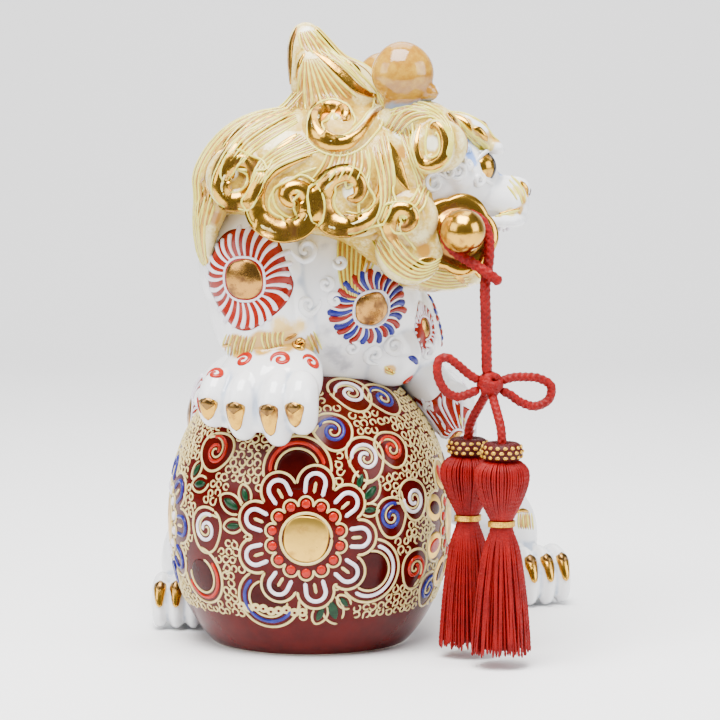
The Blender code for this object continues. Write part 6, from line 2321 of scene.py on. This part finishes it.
@dataclass
class Ornament:
    """The braided red cord, knot, bows, beads and tassels that hang from the right knob."""

    palette: Palette
    cord_diameter: float = 4.0 * MM
    thin_diameter: float = 3.4 * MM
    drop_length: float = 31.5 * MM
    knot_radius: float = 5.2 * MM
    leg_drop: float = 20.6 * MM
    bead_radius: float = 7.9 * MM
    bead_height: float = 7.2 * MM
    head_length: float = 22.0 * MM
    flattening: float = 0.88
    strands: int = 64
    yarn_twist: float = 330.0  # turns per metre
    thread_twist: float = 900.0
    tie_radius: float = 5.15  # millimetres
    front_offset: Vector = field(default_factory=lambda: Vector((2.7, -10.5, 0.0)) * MM)
    rear_offset: Vector = field(default_factory=lambda: Vector((-6.4, 11.0, -1.0)) * MM)

    def __post_init__(self) -> None:
        """Work out the axes of the loop round the knob and the knot's place."""
        bar = MouthBar(self.palette)
        self.axis = bar.knob_axis
        loop_height = 5.0 * MM + 1.4 * MM + 0.3 * MM + 0.5 * self.cord_diameter
        self.hinge = in_head(*bar.seat) + self.axis * loop_height
        self.across = Vector((-self.axis.y, self.axis.x, 0.0)).normalized()
        self.up = self.axis.cross(self.across).normalized()
        if self.up.z < 0:
            self.up = -self.up
        self.drop_top = self.in_loop(8.2, -20.8, 0.0)
        self.drop_end = self.drop_top + Vector((0.9 * MM, 0.2 * MM, -self.drop_length))
        self.knot = self.drop_end - Vector((-1.2 * MM, 0.0, self.knot_radius))

    def in_loop(self, across: float, up: float, lift: float) -> Vector:
        """Point in the plane of the loop round the knob's neck, in millimetres."""
        return self.hinge + (self.across * across + self.up * up + self.axis * lift) * MM

    def noose_route(self) -> list[Vector]:
        """The cord's line: its end lies over the drop, loops round the neck and hangs to the knot."""
        loop = [(13.2, -20.0, 4.9), (8.2, -16.2, 4.9), (3.0, -11.8, 2.0), (-1.8, -8.2, 0.1), (-5.4, -4.2, 0.0),
                (-6.4, 0.2, 0.0), (-4.6, 4.4, 0.0), (-0.4, 6.5, 0.0), (4.6, 6.2, 0.0), (8.6, 3.2, 0.0),
                (10.4, -2.2, 0.0), (10.3, -8.8, 0.0), (9.3, -15.2, 0.0)]
        route = [self.in_loop(*point) for point in loop]
        drop = [self.drop_top.lerp(self.drop_end, share) for share in (0.0, 0.33, 0.67, 1.0)]
        return [*route, *drop, self.drop_end + Vector((0.5, 0.0, -1.5)) * MM]

    def braid(self, clay: Clay, route: Sequence[Vector], diameter: float) -> list[Vector]:
        """Add a round braided cord: two sets of strands that cross over one another.

        Args:
            clay: What it is added to.
            route: Points of its middle line.
            diameter: Over the braid.

        Returns:
            Points of the middle line, close together.
        """
        step = 0.055 * diameter
        centres = along(route, step)
        frames = []
        side = (centres[1] - centres[0]).orthogonal().normalized()
        for index, centre in enumerate(centres):
            tangent = heading(centres, index)
            side = (side - tangent * side.dot(tangent)).normalized()
            frames.append((centre, side, tangent.cross(side)))
        rings = []
        count, carriers, pitch = 48, 8, 2.6 * diameter
        core, relief = 0.925, 0.115  # shares of the radius
        for index, (centre, across, outward) in enumerate(frames):
            turn = math.tau * index * step / pitch
            end = min(1.0, min(index, len(frames) - 1 - index) * step / (0.5 * diameter))
            round_off = math.sqrt(max(0.02, 1.0 - (1.0 - end) ** 2))
            ring = []
            for angle in turns(count):
                over = math.cos(0.5 * carriers * (angle - turn))
                under = math.cos(0.5 * carriers * (angle + turn))
                height = max(over * (1.0 + 0.5 * under), under * (1.0 + 0.5 * over))
                radius = 0.5 * diameter * round_off * (core + relief * max(-1.0, min(1.2, height)))
                ring.append(centre + across * (radius * math.cos(angle)) + outward * (radius * math.sin(angle)))
            rings.append(ring)
        clay.rings(rings)
        return centres

    def cord(self, name: str, route: Sequence[Vector], diameter: float, body: Body, *nodes: str) -> tuple:
        """Make a braided cord's piece.

        Returns:
            The piece, the points of its middle line and its length.
        """
        clay = Clay()
        centres = self.braid(clay, route, diameter)
        piece = clay.piece(name, self.palette.silk)
        store_hollows(piece, 0.12 * MM)
        report(piece, body, nodes[0], *nodes)
        return piece, centres, length_of(centres)

    def knot_piece(self) -> bpy.types.Object:
        """The round knot: braided cord wound over and over itself."""
        clay = Clay()
        radius = self.knot_radius - 0.5 * self.thin_diameter
        for tilt, turn in ((0, 0), (60, 20), (-60, 40), (90, 80), (25, 110), (-25, 150)):
            basis = Matrix.Rotation(math.radians(turn), 3, "Z") @ Matrix.Rotation(math.radians(tilt), 3, "X")
            loop = [self.knot + basis
                    @ Vector((radius * math.cos(a), radius * math.sin(a), 0.25 * radius * math.sin(2 * a)))
                    for a in (math.tau * index / 18 for index in range(19))]
            self.braid(clay, loop, 0.9 * self.thin_diameter)
        piece = clay.piece("knot_windings", self.palette.silk)
        store_hollows(piece, 0.12 * MM)
        return report(piece, Body.ORNAMENT, "knot", "knot")

    def bow_route(self, outline: Sequence[tuple[float, float]]) -> list[Vector]:
        """Middle line of a bow loop."""
        return [self.knot + (self.across * a + UP * up - self.axis * (0.03 * abs(a))) * MM for a, up in outline]

    def bead_top(self, offset: Vector) -> Vector:
        """Top of a tassel's bead."""
        return self.knot + offset - UP * self.leg_drop

    def leg_route(self, offset: Vector) -> list[Vector]:
        """Middle line of the cord from the knot through the bead into the tassel's head."""
        top = self.bead_top(offset)
        lean = (offset * 0.5 - UP * (9.5 * MM)).normalized()
        start = self.knot + lean * (0.76 * self.knot_radius)
        inside = top - UP * (self.bead_height + 0.3 * MM)
        end = inside - UP * (7.9 * MM)
        bend = self.knot + offset * 0.86 - UP * (0.70 * self.leg_drop)
        return [start, start + lean * (0.9 * self.thin_diameter), bend, top + UP * (0.3 * MM), inside.lerp(top, 0.5),
                inside, end]

    def bead(self, offset: Vector, body: Body, node: str) -> list[bpy.types.Object]:
        """A ring of red cord with rows of gold stitches round it."""
        centre = self.bead_top(offset) - UP * (0.5 * self.bead_height)
        bore = 0.5 * self.thin_diameter + 0.1 * MM
        middle, half = 0.5 * (self.bead_radius + bore), 0.5 * (self.bead_radius - bore)
        ring, net = Clay(), Clay()
        rings = []
        for turn in turns(96):
            out = Vector((math.cos(turn), math.sin(turn), 0.0))
            groove = 1.0 - 0.05 * abs(math.sin(12 * turn))
            rings.append([centre + out * (middle + half * groove * math.cos(a)) +
                          UP * (0.5 * self.bead_height * groove * math.sin(a))
                          for a in turns(28)])
        ring.rings(rings, closed=True)
        core = ring.piece(node + "_core", self.palette.silk)
        store_hollows(core, 0.15 * MM)
        report(core, body, node, node)
        squares = 16
        for row, slant in enumerate((34, 4, -26)):
            a = math.radians(slant)
            for index in range(squares):
                points = []
                for step in range(5):
                    turn = math.tau * (index + 0.5 * (row % 2) + (step - 2) * 0.15) / squares
                    out = Vector((math.cos(turn), math.sin(turn), 0.0))
                    points.append(centre + out * (middle + half * 1.02 * math.cos(a)) +
                                  UP * (0.51 * self.bead_height * math.sin(a)))
                Stroke(points, [(point - centre).normalized()
                                for point in points]).lay(net, 1.35 * MM, 0.42 * MM, None, 0.3)
        wires = report(net.piece(node + "_net", self.palette.thread), body, node)
        return [core, wires]

    def turn_to_pair(self) -> Matrix:
        """Rotation that turns a flattened tassel's narrow side to the other one."""
        apart = self.front_offset - self.rear_offset
        return Matrix.Rotation(math.atan2(apart.y, apart.x) - 0.5 * math.pi, 3, "Z")

    def strand(self, clay: Clay, points: Sequence[Vector], thickness: float, twist: float) -> None:
        """Add a two-ply twisted strand along points.

        Args:
            clay: What it is added to.
            points: Its middle line.
            thickness: Over both plies.
            twist: Turns per metre.
        """
        side = (points[1] - points[0]).orthogonal().normalized()
        rings, walked = [], 0.0
        for index, point in enumerate(points):
            tangent = heading(points, index)
            side = (side - tangent * side.dot(tangent)).normalized()
            up = tangent.cross(side)
            walked += (points[index] - points[max(index - 1, 0)]).length
            turn = math.tau * twist * walked
            close = 0.4 if index in (0, len(points) - 1) else 1.0
            ring = []
            for a in turns(8):
                radius = 0.5 * thickness * close * (0.78 + 0.22 * math.cos(2.0 * (a - turn)))
                ring.append(point + side * (radius * math.cos(a)) + up * (radius * math.sin(a)))
            rings.append(ring)
        clay.rings(rings)

    def tassel(self, offset: Vector, body: Body, node: str, seed: int) -> list[bpy.types.Object]:
        """Twisted strands folded over the head, gathered at the waist and hanging to the hem."""
        chance = random.Random(seed)
        top = self.bead_top(offset) - UP * (self.bead_height + 0.1 * MM)
        pair = self.turn_to_pair()
        profile = [(2.6, 0.4), (6.2, 0.1), (9.6, -2.4), (10.5, -5.6), (9.9, -9.6), (7.7, -15.2), (5.0, -20.4),
                   (3.9, -23.0),
                   (4.3, -26.4), (6.9, -34.0), (8.9, -47.0), (10.2, -60.0), (11.0, -73.4)]
        cores = [(2.4, -1.2), (5.4, -2.0), (8.2, -4.4), (8.9, -7.0), (8.2, -11.0), (6.2, -16.4), (3.6, -21.2),
                 (2.9, -23.6),
                 (3.3, -27.0), (5.2, -35.0), (6.8, -48.0), (7.8, -60.0), (8.2, -70.5)]
        inner, strands = Clay(), Clay()

        def at(radius: float, angle: float, height: float) -> Vector:
            """Point of the tassel from millimetres."""
            flat = Vector((radius * math.cos(angle), radius * math.sin(angle) * self.flattening, 0.0))
            return top + (pair @ flat + UP * height) * MM

        smooth_core = along([Vector((radius, 0.0, height)) for radius, height in cores], 1.6)
        inner.rings([[at(mark.x, a, mark.z) for a in turns(40)] for mark in smooth_core])
        core = inner.piece(node + "_core", self.palette.silk)
        report(core, body, node, node)
        for layer, (count, shrink) in enumerate(((self.strands, 1.0), (int(0.7 * self.strands), 0.86))):
            for index in range(count):
                angle = math.tau * (index + 0.5 * layer) / count + chance.uniform(-0.03, 0.03)
                drift, wander = chance.uniform(-0.20, 0.20), chance.uniform(-0.7, 0.5)
                short = chance.uniform(0.0, 2.6)
                marks = []
                for order, (radius, height) in enumerate(profile):
                    loose = max(0.0, (order - 8) / 4.0)
                    marks.append(Vector((radius * shrink + wander * loose, angle + drift * loose,
                                         height + short * max(0.0, (order - 11)) if order > 11 else height)))
                fine = along(marks, 0.85)
                points = [at(mark.x, mark.y, mark.z) for mark in fine]
                self.strand(strands, points, (1.05 if layer == 0 else 1.15) * MM, self.yarn_twist)
        skirt = strands.piece(node + "_strands", self.palette.silk)
        store_hollows(skirt, 0.10 * MM, 1)
        report(skirt, body, node)
        return [core, skirt]

    def tie(self, offset: Vector, body: Body, node: str, seed: int) -> list[bpy.types.Object]:
        """Gold thread wound round the waist, with loose ends."""
        chance = random.Random(seed)
        top = self.bead_top(offset) - UP * (self.bead_height + self.head_length + 0.1 * MM)
        pair = self.turn_to_pair()
        clay = Clay()
        rounds, per_turn = 5, 28
        points = []
        for index in range(rounds * per_turn + 1):
            angle = math.tau * index / per_turn
            flat = Vector((self.tie_radius * math.cos(angle), self.tie_radius * math.sin(angle) * self.flattening,
                           0.0))
            points.append(top + (pair @ flat + UP * (-0.45 - 2.1 * index / (rounds * per_turn))) * MM)
        self.strand(clay, points, 0.62 * MM, self.thread_twist)
        for _ in range(3):
            angle = chance.uniform(3.3, 4.3)
            start = Vector((5.2 * math.cos(angle), 5.2 * math.sin(angle) * self.flattening, -1.5))
            loose = [start]
            way = Vector((math.cos(angle), math.sin(angle), -0.4))
            for _ in range(4):
                way = (way + Vector((chance.uniform(-0.5, 0.5), chance.uniform(-0.5, 0.5),
                                     chance.uniform(-1.1, 0.1)))).normalized()
                loose.append(loose[-1] + way * 1.9)
            self.strand(clay, along([top + (pair @ mark) * MM for mark in loose], 0.4 * MM), 0.5 * MM,
                        self.thread_twist)
        return [report(clay.piece(node + "_winding", self.palette.thread), body, node, node)]

    def build(self) -> None:
        """Make the cords and what hangs on them, and declare each cord."""
        noose, path, length = self.cord("noose_braid", self.noose_route(), self.cord_diameter, Body.ORNAMENT,
                                        "noose_cord")
        knot = self.knot_piece()
        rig.cord(noose, exit=self.in_loop(-1.8, -8.2, 0.1), length=length, diameter=self.cord_diameter, far_end="knot",
                stiffness="limp", lay="hanging", path=path, with_pieces=[knot])
        right = [(4.2, 1.1), (8.8, 2.3), (13.5, 2.4), (19.0, 1.8), (23.8, -1.2), (23.0, -6.4), (17.6, -8.8),
                 (11.6, -6.9), (8.2, -4.4), (4.0, -2.3)]
        left = [(-4.1, 1.4), (-8.2, 4.0), (-12.4, 7.6), (-16.4, 10.4), (-19.8, 9.2), (-20.0, 3.6), (-17.2, -2.0),
                (-12.8, -4.4), (-8.6, -3.6), (-4.1, -1.7)]
        for node, outline in (("bow_right", right), ("bow_left", left)):
            bow, path, length = self.cord(node + "_braid", self.bow_route(outline), self.thin_diameter,
                                          Body.ORNAMENT, node)
            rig.cord(bow, exit=path[0], length=length, diameter=self.thin_diameter, far_end="object", stiffness="limp",
                    lay="hanging", path=path)
        for place, offset, body, seed in (("front", self.front_offset, Body.FRONT, 3),
                                          ("rear", self.rear_offset, Body.REAR, 8)):
            leg, path, length = self.cord(f"leg_{place}_braid", self.leg_route(offset), self.thin_diameter, body,
                                          "leg_cord_" + place)
            hung = self.bead(offset, body, "bead_" + place)
            hung += self.tassel(offset, body, "tassel_" + place, seed)
            hung += self.tie(offset, body, "tie_" + place, seed)
            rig.cord(leg, exit=path[0], length=length, diameter=self.thin_diameter, far_end="object", stiffness="limp",
                    lay="hanging", path=path, with_pieces=hung)


def main() -> None:
    """Build the camera, the ornament, the lion and the studio, and record the sizes."""
    logging.basicConfig(level=logging.INFO, format="%(name)s: %(message)s")
    palette = Palette()
    VIEW.make()
    Ornament(palette).build()
    MouthBar(palette).build()
    body = WhiteBody(palette).build()
    Head(palette).build()
    mane = Mane(palette).build()
    Tail(palette).build()
    Ball(palette).build(Surface(body, mane))
    Studio().build()
    with open(SIZE_FILE, "w") as sizes:
        json.dump({"cad": [list(corner) for corner in CAD_BOX], "visual": [list(corner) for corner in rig.bounds()]}, sizes)


if __name__ == "__main__":
    main()
